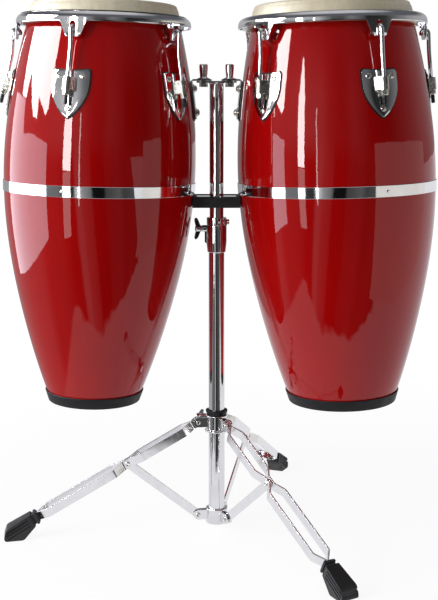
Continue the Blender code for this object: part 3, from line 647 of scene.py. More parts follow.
def pucker(spot, depth, rest):
    """Draws the hide's side in and out by turns, more with the depth below its top."""
    reach = hypot(spot.x, spot.y)
    if depth < 0.0005 or reach < rest - 0.001 or depth > 0.034:
        return
    around = atan2(spot.y, spot.x)
    wave = noise.noise(Vector((cos(around), sin(around), 0.3)) * 16)
    grow = 1 + (0.0009 * wave * min(1.0, depth / 0.02) - 0.0004) / reach
    spot.x *= grow
    spot.y *= grow


def ear_share(distance):
    """How much of the ear's full drop the skirt has at that distance along the rim from its middle."""
    t = min(1.0, max(0.0, (EAR_HALF - distance) / (EAR_HALF - EAR_FLAT_HALF)))
    return t * t * (3 - 2 * t)


def rim_angles(drum):
    """Close together over each ear, and wider apart between ears."""
    ear = EAR_HALF / drum.rim_radius
    angles = []
    for middle in STATION_ANGLES:
        angles += between(middle - ear, middle + ear, 31)
        angles += between(middle + ear, middle + tau / STATIONS - ear, 26)[1:-1]
    return angles


def rim_section(drum, angle):
    """The rim's section at an angle: over the rolled top, down the skirt, and back up inside."""
    radius, top = drum.rim_radius, drum.rim_top
    nearest = min(abs(remainder(angle - a, tau)) for a in STATION_ANGLES) * radius
    low = drum.rim_low + EAR_DROP - EAR_DROP * ear_share(nearest)
    lip_low = drum.top - FLANGE_BELOW_TOP
    inside = drum.radius(lip_low) + 0.0045
    crest = (radius - RIM_ROLL, top - RIM_ROLL)
    section = [(inside, lip_low), (inside, top - 0.004), (inside + 0.0013, top - 0.0014)]
    section += [(inside + 0.005, top - 0.0003), (inside + 0.009, top)]
    section += arc(crest, RIM_ROLL, 82, 0, 9)
    section += [(radius, z) for z in between(crest[1] - 0.002, low + 0.0012, 6)]
    section += [(radius - 0.0004, low + 0.0003), (radius - RIM_STEEL / 2, low)]
    section += [(radius - RIM_STEEL + 0.0004, low + 0.0003)]
    section += [(radius - RIM_STEEL, z) for z in between(low + 0.0012, crest[1] - 0.002, 3)]
    section += arc(crest, RIM_ROLL - RIM_STEEL, 0, 90, 6)
    return section + [(inside + RIM_STEEL, top - 0.0035), (inside + RIM_STEEL, lip_low)]


def build_rim(drum):
    """The counter-hoop: a rolled steel channel with five slotted ears."""
    rows = []
    for angle in rim_angles(drum):
        rows.append([(r * cos(angle), r * sin(angle), z) for r, z in rim_section(drum, angle)])
    slot_low = drum.rim_low + SLOT_ABOVE_EAR
    outline = arc((0, slot_low + SLOT_HALF), SLOT_HALF, 180, 360, 12)
    outline += arc((0, slot_low + SLOT_TALL - SLOT_HALF), SLOT_HALF, 0, 180, 12)
    near, far = drum.rim_radius - 0.006, drum.rim_radius + 0.006
    slots = [moved(prism(outline, near, far, "yzx"), spin(angle)) for angle in STATION_ANGLES]
    mesh = to_mesh(cut(surface(rows, around=True, through=True), *slots), "chrome", sharp=32)
    drum.dress("rim_chrome", mesh, "rim", body=drum.side + "_rim")


def rod_places(drum):
    """Where a tuning rod runs, in its station's x-z plane: the outer and inner x of its crook, its x at
    the strap, and its lean there."""
    out = drum.rim_radius + 0.0065
    inside = drum.rim_radius - RIM_STEEL - 0.0042
    strap = max(drum.radius(STRAP_HEIGHT) + 0.0135, out + 0.0015)
    return out, inside, strap, atan2(strap - out, ROD_BEND_HEIGHT - STRAP_HEIGHT)


def hook_mesh(drum):
    """A round rod: crooked over the slot, cranked out to the strap, and threaded at its lower end."""
    out, inside, strap, lean = rod_places(drum)
    crook = drum.rim_low + SLOT_ABOVE_EAR + 2 * GAP
    down = Vector((sin(lean), -cos(lean)))
    tip = Vector((strap, STRAP_HEIGHT)) + down * 0.036
    thread_start = Vector((strap, STRAP_HEIGHT)) + down * 0.002
    line = [(inside, crook - 0.003), *arc(((out + inside) / 2, crook), (out - inside) / 2, 180, 0, 20)]
    bend = rounded([(out, crook - 0.002), (out, 0.619), tuple(thread_start)], 0.012, 8, closed=False)
    line += [*[(out, z) for z in between(crook - 0.004, 0.634, 6)], *bend[1:-1]]
    smooth = [Vector(point) for point in line]
    thread = (tip - thread_start).length
    length = sum((b - a).length for a, b in zip(smooth, smooth[1:])) + (thread_start - smooth[-1]).length
    steps = int(thread / THREAD_PITCH * 8)
    line += [tuple(thread_start.lerp(tip, i / steps)) for i in range(steps + 1)]
    chamfer = 0.0012

    def width(run, turn):
        if run < chamfer:
            return ROD_RADIUS - chamfer + run
        if run < length:
            return ROD_RADIUS
        groove = 0.5 - 0.5 * cos(turn - tau * run / THREAD_PITCH)
        return ROD_RADIUS - 0.0001 - 0.0006 * groove - max(0.0, run - (length + thread - chamfer))

    bm = sweep(line, width)
    for face in bm.faces:
        face.material_index = int(face.calc_center_median().z < thread_start.y)
    return to_mesh(bm, "plated_strip", "oiled_thread", sharp=60)


def nut_mesh():
    """A domed hexagon nut with its top face at z = 0, on a thin washer."""
    profile = ((0.0004, 0.0052), (0.0004, 0.0060), (0.0012, 0.0066), (0.0024, 0.0070), (0.0045, 0.0070),
               (0.0060, 0.0069), (0.0072, 0.0064), (0.0082, 0.0058), (NUT_TALL, 0.0050))
    rows = []
    for level, limit in profile:
        row = []
        for turn in [tau * i / 48 for i in range(48)]:
            from_flat = remainder(turn - pi / 6, pi / 3)
            reach = min(limit, NUT_FLATS / 2 / cos(from_flat))
            row.append((reach * cos(turn), reach * sin(turn), -level))
        rows.append(row)
    washer = tube(0.0045, 0.0078, -0.0004, 0.0002, 0.0002, 2, 32)
    return to_mesh(joined([surface(rows, around=True, capped=True), washer]), "nickel", sharp=30)


def shield(drum, margin, low_lift, high_lift, crown=0.0):
    """The shield-shaped plate over the shell, grown by the margin, between two lifts off the surface."""
    tall = LUG_TOP - LUG_BOTTOM
    rows, corner = 34, 0.08
    across = between(-1, 1, 17)

    def grid(lift, crown):
        lines = []
        for j in range(rows + 1):
            share = (1 - cos(pi * j / rows)) / 2
            half = max(LUG_HALF * sin(pi / 2 * min(share / LUG_WIDEST, 1.0) ** 0.8), 0.0004)
            past = max(0.0, (share - (1 - corner)) / corner)
            half -= tall * corner * (1 - sqrt(max(0.0, 1 - past * past)))
            line = []
            for u in across:
                arch = 1 - u * u
                dip = 0.0022 * arch * max(0.0, (share - 0.7) / 0.3)
                height = LUG_BOTTOM - margin + share * (tall + 2 * margin) - dip
                line.append(drum.on_shell(u * (half + margin), height, lift + crown * arch))
            lines.append(line)
        return lines

    return slab(grid(low_lift, 0.0), grid(high_lift, crown))


def lug_meshes(drum):
    """The polished shield, its screws and strap, and the black gasket under it."""
    _, _, strap_x, lean = rod_places(drum)
    plate = shield(drum, 0.0, GASKET - 0.0002, PLATE_LIFT - 0.0012, crown=0.0010)
    gasket = shield(drum, 0.0019, 0.0002, GASKET)
    screws = [
        moved(screw_head(0.0050, 0.0024), drum.shell_spot(along, height, PLATE_LIFT - 0.0006))
        for along, height in LUG_SCREWS
    ]
    reach = strap_x - drum.radius(STRAP_HEIGHT) - PLATE_LIFT + 0.0026
    wall = STRAP_OUTER - STRAP_INNER
    bend = arc((0, 0), (STRAP_OUTER + STRAP_INNER) / 2, -78, 78, 14)
    line = [(-reach, -STRAP_BASE_HALF + wall / 2), *bend, (-reach, STRAP_BASE_HALF - wall / 2)]
    strap = prism(ribbon(line, wall / 2), -STRAP_HALF_TALL, STRAP_HALF_TALL)
    moved(strap, shift(strap_x, 0, STRAP_HEIGHT) @ spin(-lean, "Y"))
    polished = joined([plate], [strap, *screws])
    return to_mesh(polished, "chrome", "nickel"), to_mesh(gasket, "black_rubber")


def build_stations(drum):
    hook, nut = hook_mesh(drum), nut_mesh()
    plate, gasket = lug_meshes(drum)
    for k, angle in enumerate(STATION_ANGLES, 1):
        station = drum.frame @ spin(angle)
        turning = joint(f"{drum.side}_nut_{k}_turn")
        nut_place = axes_frame(turning["pos_m"], station.to_3x3() @ Vector((1, 0, 0)), turning["axis"])
        name = f"{drum.side}_{{}}_{k}"
        piece(name.format("rod"), hook, drum.side + "_rim", station, [name.format("hook")])
        piece(name.format("lug_plate"), plate, "upper", station, [name.format("lug")], bevel=0.0007)
        piece(name.format("lug_gasket"), gasket, "upper", station, bevel=0.0003)
        piece(name.format("tuning_nut"), nut, f"{drum.side}_nut_{k}", nut_place, [name.format("nut")])


def bracket_grid(drum, lift, level, half, bottom, end, bend):
    """One face of the side bracket: up the shell at that lift, then level out to its end."""
    to_local = drum.frame.inverted()
    sign = 1 if drum.frame.translation.x > 0 else -1
    grid = []
    for i in range(13):
        across = -half + 2 * half * i / 12
        corner = to_local @ Vector((sign * 0.1, across, level))
        flange_end = to_local @ Vector((sign * end, across, level))
        slope = (flange_end.z - corner.z) / (flange_end.x - corner.x)
        top = corner.z + (drum.radius(0.57) + lift - corner.x) * slope
        line = [(sqrt(drum.radius(h) ** 2 - across**2) + lift, h) for h in between(bottom, top, 10)]
        line += [(flange_end.x, flange_end.z)]
        line = line[:-3] + rounded(line[-3:], bend, 8, closed=False)
        grid.append([(x, across, z) for x, z in line])
    return grid


def build_bracket(drum):
    """The plate bolted to the shell towards the pole, bent over into a flange on the crossbar, with its
    washers, bolts and gasket."""
    low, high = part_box(drum.side + "_mount_bracket")
    end = min(abs(low.x), abs(high.x))
    half = (high.y - low.y) / 2 - 0.0012
    bottom = drum.heights("mount_bracket")[0]
    inner = bracket_grid(drum, GASKET, high.z - PLATE, half, bottom, end, 0.0035)
    outer = bracket_grid(drum, GASKET + PLATE, high.z, half, bottom, end, 0.0065)
    drum.dress("bracket_chrome", to_mesh(slab(inner, outer), "chrome"), "mount_bracket", bevel=0.0006)
    bolts = []
    for height in BRACKET_BOLT_HEIGHTS:
        spot = drum.shell_spot(0.0, height, GASKET + PLATE)
        bolts.append(moved(tube(0, 0.0085, -0.0004, 0.0012, 0.0004, 2, 32), spot))
        bolts.append(moved(screw_head(0.0062, 0.0052, recess=False), spot @ shift(0, 0, 0.0011)))
    drum.dress("bracket_bolts", to_mesh(joined(bolts), "nickel"))
    pad = bracket_pad(drum, bottom - 0.003, 0.560, half + 0.0025)
    drum.dress("bracket_gasket", to_mesh(pad, "black_rubber"), bevel=0.0003)


def bracket_pad(drum, low, high, half):
    """A plain gasket on the shell, with a rounded lower end."""
    rows = []
    for height in between(low, high, 14):
        wide = half - 0.006 * (1 - sqrt(1 - max(0.0, 1 - (height - low) / 0.006) ** 2))
        front = [drum.on_shell(y, height, GASKET) for y in between(-wide, wide, 11)]
        back = [drum.on_shell(y, height, 0.0002) for y in between(wide, -wide, 11)]
        rows.append(front + back)
    return surface(rows, around=True, capped=True)


# ---------------------------------------------------------------- pole
def clevises(pivot, inner, root):
    """Three pairs of rounded ears, one pair for each leg, and their pins with rivet heads."""
    end, steel = 0.0085, 0.003
    outside = inner + steel
    outline = [(root, pivot[1] - end), *arc(pivot, end, -90, 90, 14), (root, pivot[1] + end)]
    ears, pins = [], []
    for turn in [spin(leg_azimuth(side)) for side in LEG_SIDES]:
        ears += [moved(prism(outline, low, low + steel, "xzy"), turn) for low in (inner, -outside)]
        pins.append(moved(prism(arc(pivot, 0.003, 0, 345, 23), -outside, outside, "xzy"), turn))
        for side in (1, -1):
            place = shift(pivot[0], side * outside, pivot[1]) @ spin(-side * pi / 2, "X")
            pins.append(moved(rivet(0.0042, 0.0011), turn @ place))
    return ears, pins


def round_boss(start, stop, at):
    """The boss that a wing bolt screws into, along the frame's x axis."""
    return moved(tube(0.0048, 0.0065, start, stop, 0.0005, 3, 40), at @ spin(pi / 2, "Y"))


def build_lower_tube():
    """The outer tube, with the hub at its foot and the height clamp at its top."""
    clamp_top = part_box("lower_tube")[1].z
    clamp_low, clamp, hub, hub_top = clamp_top - 0.049, 0.0185, 0.0195, 0.026
    wing = joint("height_wing_turn")["pos_m"]
    brace_pivot = Vector(joint("left_brace_pivot")["pos_m"])
    body = turned_solid([
        (0, 0), (hub, 0), (hub, hub_top), (LOWER_TUBE, hub_top), (LOWER_TUBE, clamp_low),
        (clamp - 0.0018, clamp_low), (clamp, clamp_low + 0.018), (clamp, clamp_top), (LOWER_BORE, clamp_top),
        (LOWER_BORE, 0.02), (0, 0.02),
    ], 0.0011, 4, 96, closed=False)
    ears, pins = clevises((brace_pivot.xy.length, brace_pivot.z), 0.0022, 0.016)
    boss = round_boss(0.0165, abs(wing[0]) - 0.0004, shift(0, 0, wing[2]) @ spin(pi))
    root, reach = 0.0160, 0.0215
    outline = rounded([(root, clamp_low + 0.014), (reach, clamp_low + 0.018), (reach, clamp_top - 0.003),
                       (root, clamp_top - 0.001)], 0.0012, 3)
    lips = [moved(prism(outline, y, y + 0.0032, "xzy"), spin(pi)) for y in (-0.0046, 0.0014)]
    mesh = to_mesh(joined([body, boss, *lips, *ears], pins), "chrome", "nickel")
    piece("pole_chrome", mesh, "base", replaces=["lower_tube"], bevel=0.0004)


def build_lock():
    """The split memory ring, with its ears and square-headed key bolt."""
    low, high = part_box("memory_lock")
    bottom, top = low.z, high.z
    ring = tube(LOWER_BORE, LOCK_RADIUS, bottom, top, 0.0009, 3, 72)
    ears = [box((0.0155, y, bottom + 0.001), (0.0277, y + 0.0055, top - 0.001)) for y in (-0.0069, 0.0014)]
    bolt = turned_solid([(0, -0.0100), (0.0026, -0.0100), (0.0026, 0.0085), (0.0040, 0.0085),
                         (0.0040, 0.0110), (0, 0.0110)], 0.0005, 2, 24, closed=False)
    key = box((-0.0011, -0.0046, 0.0105), (0.0011, 0.0046, 0.0128))
    turn = shift(0.0235, 0, (bottom + top) / 2) @ spin(-pi / 2, "X")
    ears = [moved(ear, spin(LOCK_EAR_AZIMUTH)) for ear in ears]
    bolt_parts = [moved(moved(part, turn), spin(LOCK_EAR_AZIMUTH)) for part in (bolt, key)]
    mesh = to_mesh(joined([ring, *ears], bolt_parts), "chrome", "nickel")
    piece("memory_ring_chrome", mesh, "memory_lock", replaces=["memory_lock"], bevel=0.0004)


def build_upper_tube():
    """The inner tube, the crossbar plate welded on its top, and the nuts welded under that."""
    low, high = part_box("upper_tube")
    under, radius = high.z - PLATE, UPPER_TUBE
    pole = tube(UPPER_BORE, radius, low.z, under + 0.001, 0.0005, 2, 96)
    hole = prism(arc((0, 0), 0.0024, 0, 345, 23), 0.005, 0.02)
    pole = cut(pole, moved(hole, shift(0, 0, under - 0.030) @ spin(pi / 2, "X")))
    corners = [(low.x, low.y), (high.x, low.y), (high.x, high.y), (low.x, high.y)]
    plate = prism(rounded(corners, 0.008, 6), under, high.z)
    weld = turned_solid([(radius - 0.0004, under - 0.0022), (radius + 0.0001, under - 0.0022),
                         (radius + 0.0026, under + 0.0002), (radius - 0.0004, under + 0.0002)], 0.0004, 2, 72)
    nuts = []
    for side in SIDES:
        x = joint(side + "_mount_bolt_turn")["pos_m"][0]
        nuts.append(prism(arc((x, 0), 0.0078, 0, 300, 5), under - 0.0075, under + 0.0005))
    mesh = to_mesh(joined([pole, plate, weld], nuts), "chrome", "nickel")
    piece("crossbar_and_tube", mesh, "upper", replaces=["upper_tube"], bevel=0.0004)


def build_mount_bolts():
    """Tall round-capped bolts with wide flange washers."""
    low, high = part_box("left_mount_bolt")
    rest = joint("left_mount_bolt_turn")["pos_m"][2]
    tall, reach = high.z - rest, rest - low.z
    bolt = turned_solid([
        (0, -reach), (0.0039, -reach), (0.0039, 0), (0.0115, 0), (0.0115, 0.0012), (0.0072, 0.0026),
        (0.0064, 0.0042), (0.0070, 0.0100), (0.0078, tall - 0.0060), (0.0078, tall - 0.0016), (0.0060, tall),
        (0, tall),
    ], 0.0012, 4, 64, closed=False)
    mesh = to_mesh(bolt, "chrome")
    for side in SIDES:
        spot = joint(side + "_mount_bolt_turn")["pos_m"]
        piece(side + "_capped_bolt", mesh, side + "_mount_bolt", shift(*spot), [side + "_mount_bolt"])


def saddle_outline(drums, bottom, half_y, clear):
    """The pad seen from above: hollowed on both sides to fit the shells."""
    outline = []
    for drum in drums:
        height = bottom + 0.01 - drum.frame.translation.z
        centre = drum.frame @ Vector((0, 0, height))
        radius = drum.radius(height) + clear
        sign = 1 if centre.x < 0 else -1
        ys = between(-sign * half_y, sign * half_y, 25)
        outline += [(centre.x + sign * sqrt(radius**2 - y * y), y) for y in ys]
    return outline[::-1]


def build_saddle(drums):
    """The rubber block between the bellies, with the steel plate that it is moulded round."""
    low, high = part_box("saddle_pad")
    half_y = (high.y - low.y) / 2
    bores = [prism(arc((0, 0), bore, 0, 355, 71), low.z - 0.01, high.z + 0.01) for bore in (0.0131, 0.0133)]
    outer = prism(saddle_outline(drums, low.z, half_y, 0.0021), low.z, high.z)
    inset = prism(saddle_outline(drums, low.z, half_y - 0.0042, 0.0062), high.z - 0.006, high.z + 0.01)
    mesh = to_mesh(cut(outer, bores[0], inset), "black_rubber")
    piece("saddle_rubber", mesh, "upper", replaces=["saddle_pad"], bevel=0.0009)
    plate = prism(saddle_outline(drums, low.z, half_y - 0.0046, 0.0066), high.z - 0.0056, high.z - 0.0012)
    piece("saddle_steel", to_mesh(cut(plate, bores[1]), "chrome"), "upper", bevel=0.0004)


def wing_bolt_mesh():
    """A wing bolt along +x, cast with pointed wings that swell towards the hub."""
    hub = turned_solid([(0, -0.0075), (0.0039, -0.0075), (0.0039, 0), (0.0058, 0), (0.0060, 0.0016),
                        (0.0050, 0.0030), (0.0056, 0.0095), (0.0045, 0.0122), (0, 0.0125)],
                       0.0008, 3, 40, closed=False)
    half = rounded([(0.0015, 0.0030), (0.0035, 0.0090), (0.0075, 0.0185), (0.0115, 0.0203), (0.0140, 0.0172),
                    (0.0125, 0.0080), (0.0105, 0.0030)], 0.0035, 4, closed=False)
    wings = prism(half + [(x, -z) for x, z in half[::-1]], -0.0019, 0.0019, "xzy")
    return to_mesh(joined([moved(hub, spin(pi / 2, "Y")), wings]), "chrome")


def build_wing_bolts():
    mesh = wing_bolt_mesh()
    for place, lean in (("height", 0), ("collar", 70)):
        turning = joint(place + "_wing_turn")
        out = Vector(turning["pos_m"])
        out.z = 0
        at = axes_frame(turning["pos_m"], out, (0, 0, 1)) @ spin(radians(lean), "X")
        piece(place + "_winged_bolt", mesh, place + "_wing", at, [place + "_wing_bolt"], bevel=0.0011)


# ---------------------------------------------------------------- tripod
def build_collar():
    """The sliding collar: a chromed ring with a lower lip, three clevises, and a flared black bush."""
    low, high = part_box("leg_collar")
    pivot = Vector(joint("left_leg_pivot")["pos_m"])
    out = Vector(joint("collar_wing_turn")["pos_m"])
    wing_height, out.z = out.z, 0
    ring_top, bore, radius, lip = high.z - 0.0095, COLLAR_BORE, COLLAR_RADIUS, COLLAR_RADIUS + 0.002
    ring = turned_solid([
        (bore, low.z), (lip, low.z), (lip, low.z + 0.003), (radius, low.z + 0.004), (radius, ring_top),
        (bore, ring_top),
    ], 0.0009, 4, 96)
    ears, pins = clevises((pivot.xy.length, pivot.z), 0.0036, 0.017)
    boss = round_boss(0.0175, out.length - 0.0004, axes_frame((0, 0, wing_height), out, (0, 0, 1)))
    mesh = to_mesh(joined([ring, boss, *ears], pins), "chrome", "nickel")
    piece("collar_chrome", mesh, "collar", replaces=["leg_collar"], bevel=0.0004)
    neck, flare = radius - 0.0018, radius + 0.0004
    bush = turned_solid([
        (bore, ring_top - 0.004), (neck, ring_top - 0.004), (neck, ring_top + 0.001),
        (flare, high.z - 0.0022), (flare, high.z), (bore, high.z),
    ], 0.0009, 4, 96)
    piece("collar_bush", to_mesh(bush, "black_rubber"), "collar")


def leg_line(mid, end):
    """One strip of a leg seen from above: joined, open, pinched at the brace, open, joined."""
    joined_half, upper, lower, pinched = 0.0013, 0.014, 0.016, 0.0039
    start, near, slant, pinch, foot_part = -0.007, 0.012, 0.018, 0.0085, 0.0235
    return [
        (start, joined_half), (near, joined_half), (near + slant, upper), (mid - pinch - slant, upper),
        (mid - pinch, pinched), (mid + pinch, pinched), (mid + pinch + slant, lower),
        (end - foot_part - slant, lower), (end - foot_part, joined_half), (end, joined_half),
    ]


def leg_mesh(mid, end):
    """Two bent strips, joined at both ends, with a rivet head on each side where the brace meets them."""
    strips, rivets = [], []
    for side in (1, -1):
        line = rounded([(x, side * y) for x, y in leg_line(mid, end)], 0.0028, 4, closed=False)
        strips.append(prism(ribbon(line, STRIP_THICKNESS / 2), -STRIP_HALF_TALL, STRIP_HALF_TALL))
        rivets.append(moved(rivet(0.0042, 0.0012), shift(mid, side * 0.0054, 0) @ spin(-side * pi / 2, "X")))
    bm = joined(strips, rivets)
    for face in bm.faces:
        face.normal_update()
        if face.material_index == 0 and abs(face.normal.z) > 0.7:
            face.material_index = 2
    return to_mesh(bm, "plated_strip", "nickel", "cut_edge")


def brace_mesh(length):
    """A flat bar with round ends."""
    outline = arc((0, 0), STRIP_HALF_TALL, 90, 270, 16) + arc((length, 0), STRIP_HALF_TALL, -90, 90, 16)
    return to_mesh(prism(outline, -STRIP_THICKNESS / 2, STRIP_THICKNESS / 2, "xzy"), "plated_strip")


def build_tripod():
    leg_joint = Vector(joint("left_leg_pivot")["pos_m"])
    brace_joint = Vector(joint("left_brace_pivot")["pos_m"])
    radius = leg_joint.xy.length
    leg_pivot, brace_pivot = Vector((radius, 0, leg_joint.z)), Vector((radius, 0, brace_joint.z))
    for side in LEG_SIDES:
        station = spin(leg_azimuth(side))
        angle = leg_slope(node_points(side + "_leg", station), leg_pivot)
        leg_place = station @ shift(*leg_pivot) @ spin(angle, "Y")
        end = float(node_points(side + "_leg", leg_place)[:, 0].max())
        length, brace_angle = brace_run(node_points(side + "_brace", station), brace_pivot)
        brace_place = station @ shift(*brace_pivot) @ spin(-brace_angle, "Y")
        meeting = leg_place.inverted() @ (brace_place @ Vector((length, 0, 0)))
        leg, brace = side + "_leg", side + "_brace"
        piece(leg + "_strips", leg_mesh(meeting.x, end), leg, leg_place, [leg], bevel=STEEL_EDGE)
        piece(brace + "_bar", brace_mesh(length), brace, brace_place, [brace], bevel=STEEL_EDGE)
        build_foot(side, station, leg_place, end)


def leg_slope(points, pivot):
    """How far the leg leans down, from the middle of its far end."""
    far = points[points[:, 0] > points[:, 0].max() - 0.010]
    middle = far.mean(axis=0)
    return atan2(pivot.z - middle[2], middle[0] - pivot.x)


def brace_run(points, pivot):
    """The length and rise angle of a brace, from its farthest corner less its round end."""
    reach = np.hypot(points[:, 0] - pivot.x, points[:, 2] - pivot.z)
    length = float(reach.max()) - STRIP_HALF_TALL
    far = points[reach > reach.max() - 0.001].mean(axis=0)
    return length, atan2(far[2] - pivot.z, far[0] - pivot.x)


def build_foot(side, station, leg_place, end):
    """A moulded rubber foot: a stepped neck, a flared block with ribs, and a flat sole."""
    low = float(node_points(side + "_foot", station)[:, 2].min())
    to_station = station.inverted() @ leg_place
    heel = [to_station @ Vector((end - 0.0130, 0, z)) for z in (0.0108, -0.0108)]
    toe = to_station @ Vector((end + 0.034, 0, 0.0105))
    outline = [(heel[0].x, heel[0].z), (toe.x, toe.z), (toe.x + 0.0048, low + 0.005), (toe.x + 0.002, low),
               (toe.x - 0.030, low), (heel[1].x, heel[1].z)]

    def width(x):
        share = min(max((x - heel[1].x) / (toe.x - heel[1].x), 0.0), 1.0)
        return 0.0116 + 0.0047 * share

    outline = rounded(outline, 0.0035, 4)
    block = surface([[(x, level * width(x), z) for x, z in outline] for level in (-1, 1)],
                    around=True, capped=True)
    groove_start, groove_long, groove_deep, groove_half = end - 0.005, 0.045, 0.0018, 0.0013
    near, far = [width((to_station @ Vector((x, 0, 0))).x) for x in (groove_start, end + 0.040)]
    lean = atan2(far - near, groove_long)
    grooves = []
    for face_side in (1, -1):
        slant = shift(groove_start, face_side * (near + 0.0002), 0) @ spin(face_side * lean)
        for height in (-0.0055, 0.0, 0.0055):
            low_corner = (0, -groove_deep, height - groove_half)
            high_corner = (groove_long, groove_deep, height + groove_half)
            grooves.append(moved(box(low_corner, high_corner), to_station @ slant))
    neck = box((end - 0.0225, -0.0088, -0.0086), (end - 0.010, 0.0088, 0.0086))
    lip = box((end - 0.0205, -0.0108, -0.0104), (end - 0.0165, 0.0108, 0.0104))
    parts = [cut(block, *grooves), moved(neck, to_station), moved(lip, to_station)]
    mesh = to_mesh(joined(parts), "black_rubber")
    piece(side + "_foot_rubber", mesh, side + "_leg", station, [side + "_foot"], bevel=0.0006)


# ---------------------------------------------------------------- stage, light and camera
# The greys of the studio that reflections show, as (degrees, grey) stops round it: low down, and above.
FRONT_LOW = ((-180, 0.30), (-110, 0.30), (-46, 0.05), (-40, 0.07), (-30, 0.05), (-24, 0.10), (-14, 0.07),
             (-9, 0.06), (-7, 0.006), (6, 0.006), (8, 0.16), (18, 0.32), (20, 0.55), (25, 0.55), (27, 0.03),
             (34, 0.03), (47, 0.17), (66, 0.20), (75, 0.45), (110, 0.45), (179, 0.30))
FRONT_HIGH = ((-180, 0.45), (-110, 0.40), (-60, 0.03), (-36, 0.02), (-30, 0.10), (-16, 0.20), (-6, 0.08),
              (5, 0.10), (12, 0.20), (22, 0.48), (40, 0.55), (66, 0.42), (110, 0.55), (179, 0.45))

# The outlines of the glowing cards, as (along, up) in metres.
WINDOW = ((-0.90, 1.65), (-0.82, 1.05), (-0.73, 0.99), (-0.37, 1.07), (-0.40, 0.93), (-0.23, 0.93),
          (0.12, 1.15), (0.19, 0.995), (0.42, 0.995), (0.75, 1.65))
WALL = ((-0.90, 0.0), (-0.90, 0.79), (-0.30, 0.82), (0.10, 0.80), (0.20, 0.985), (0.90, 0.985), (0.90, 0.0))
GAP_OF_LIGHT = ((-0.12, 0.57), (-0.12, 1.12), (-0.02, 1.42), (0.03, 1.42), (0.12, 1.15), (0.12, 0.57))
SCREEN = ((0.0, 0.0), (0.0, 0.74), (1.9, 0.76), (1.9, 0.0))
BELOW_GAP = ((-0.12, 0.0), (-0.12, 0.56), (0.12, 0.56), (0.12, 0.0))

LENS = 69.8
CAMERA_PLACE = (0.0, -2.1, 0.751)
LENS_SHIFT = {"shift_x": 0.004, "shift_y": -0.325}


def maths(tree, operation, *values):
    made = tree.nodes.new("ShaderNodeMath")
    made.operation = operation
    for socket, value in zip(made.inputs, values):
        feed(tree, socket, value)
    return made.outputs["Value"]


def panorama(tree, x, y, stops):
    """A grey that depends on the direction: 0 degrees is -Y, 90 degrees is -X."""
    turn = maths(tree, "ARCTAN2", maths(tree, "MULTIPLY", x, -1.0), maths(tree, "MULTIPLY", y, -1.0))
    share = maths(tree, "ADD", maths(tree, "DIVIDE", turn, tau), 0.5)
    greys = node(tree, "ValToRGB", {"Fac": share})
    elements = greys.color_ramp.elements
    while len(elements) < len(stops):
        elements.new(0.5)
    for element, (degrees, grey) in zip(elements, stops):
        element.position = degrees / 360 + 0.5
        element.color = (grey, grey, grey * 1.02, 1)
    return greys.outputs["Color"]


def floor_material():
    """Pale to the camera. In reflections it is a pale sheet round the stand, and the dim studio beyond."""
    material = bpy.data.materials.new("floor")
    material.use_nodes = True
    tree = material.node_tree
    tree.nodes.clear()
    place = node(tree, "NewGeometry", {}).outputs["Position"]
    split = node(tree, "SeparateXYZ", {"Vector": place}).outputs
    x, y = split["X"], split["Y"]
    waves = node(tree, "TexNoise", {"Vector": place, "Scale": 2.6}).outputs["Fac"]
    sheet = ramp(tree, maths(tree, "ADD", y, maths(tree, "MULTIPLY", waves, 0.55)), -0.34, -0.30)
    beside = ramp(tree, maths(tree, "ADD", x, maths(tree, "MULTIPLY", y, 0.84)), 0.18, 0.24)
    near = maths(tree, "MULTIPLY", maths(tree, "MAXIMUM", sheet, beside), ramp(tree, x, -0.56, -0.52))
    studio = tint(tree, near, panorama(tree, x, y, FRONT_LOW), (0.85, 0.85, 0.88))
    reach = node(tree, "VectorMath", {0: place}, operation="LENGTH").outputs["Value"]
    pale = tint(tree, ramp(tree, reach, 0.5, 2.2), (0.91, 0.91, 0.91), (1.0, 1.0, 1.0))
    plain = node(tree, "Emission", {"Color": pale}).outputs[0]
    soft = node(tree, "BsdfDiffuse", {"Color": (0.12, 0.12, 0.12)}).outputs[0]
    to_camera = node(tree, "AddShader", {0: plain, 1: soft}).outputs[0]
    to_mirrors = node(tree, "Emission", {"Color": studio}).outputs[0]
    seen = node(tree, "LightPath", {}).outputs["Is Camera Ray"]
    mix = node(tree, "MixShader", {0: seen, 1: to_mirrors, 2: to_camera}).outputs[0]
    node(tree, "OutputMaterial", {"Surface": mix})
    return material


def stage_mesh(name, bm, material):
    """A mesh that belongs to the studio."""
    mesh = bpy.data.meshes.new(name)
    bm.to_mesh(mesh)
    bm.free()
    mesh.materials.append(material)
    obj = linked(name, mesh)
    return obj


def build_floor():
    bm = bmesh.new()
    bmesh.ops.create_grid(bm, x_segments=1, y_segments=1, size=30)
    stage_mesh("floor", moved(bm, shift(0, 0, cad_low.z - 0.0002)), floor_material())


def build_world():
    """White to the camera. In reflections the studio has light and dark parts, brighter overhead."""
    world = bpy.data.worlds.new("studio")
    bpy.context.scene.world = world
    world.use_nodes = True
    tree = world.node_tree
    place = node(tree, "TexCoord", {}).outputs["Generated"]
    split = node(tree, "SeparateXYZ", {"Vector": place}).outputs
    x, y, z = split["X"], split["Y"], split["Z"]
    low, high = panorama(tree, x, y, FRONT_LOW), panorama(tree, x, y, FRONT_HIGH)
    wall = tint(tree, ramp(tree, z, -0.02, 0.10), low, high)
    above = tint(tree, ramp(tree, z, 0.25, 0.45), wall, (0.11, 0.115, 0.13))
    room = tint(tree, ramp(tree, z, 0.75, 0.95), above, (0.60, 0.60, 0.62))
    seen = node(tree, "LightPath", {}).outputs["Is Camera Ray"]
    feed(tree, tree.nodes["Background"].inputs["Color"], tint(tree, seen, room, (1.0, 1.0, 1.0)))


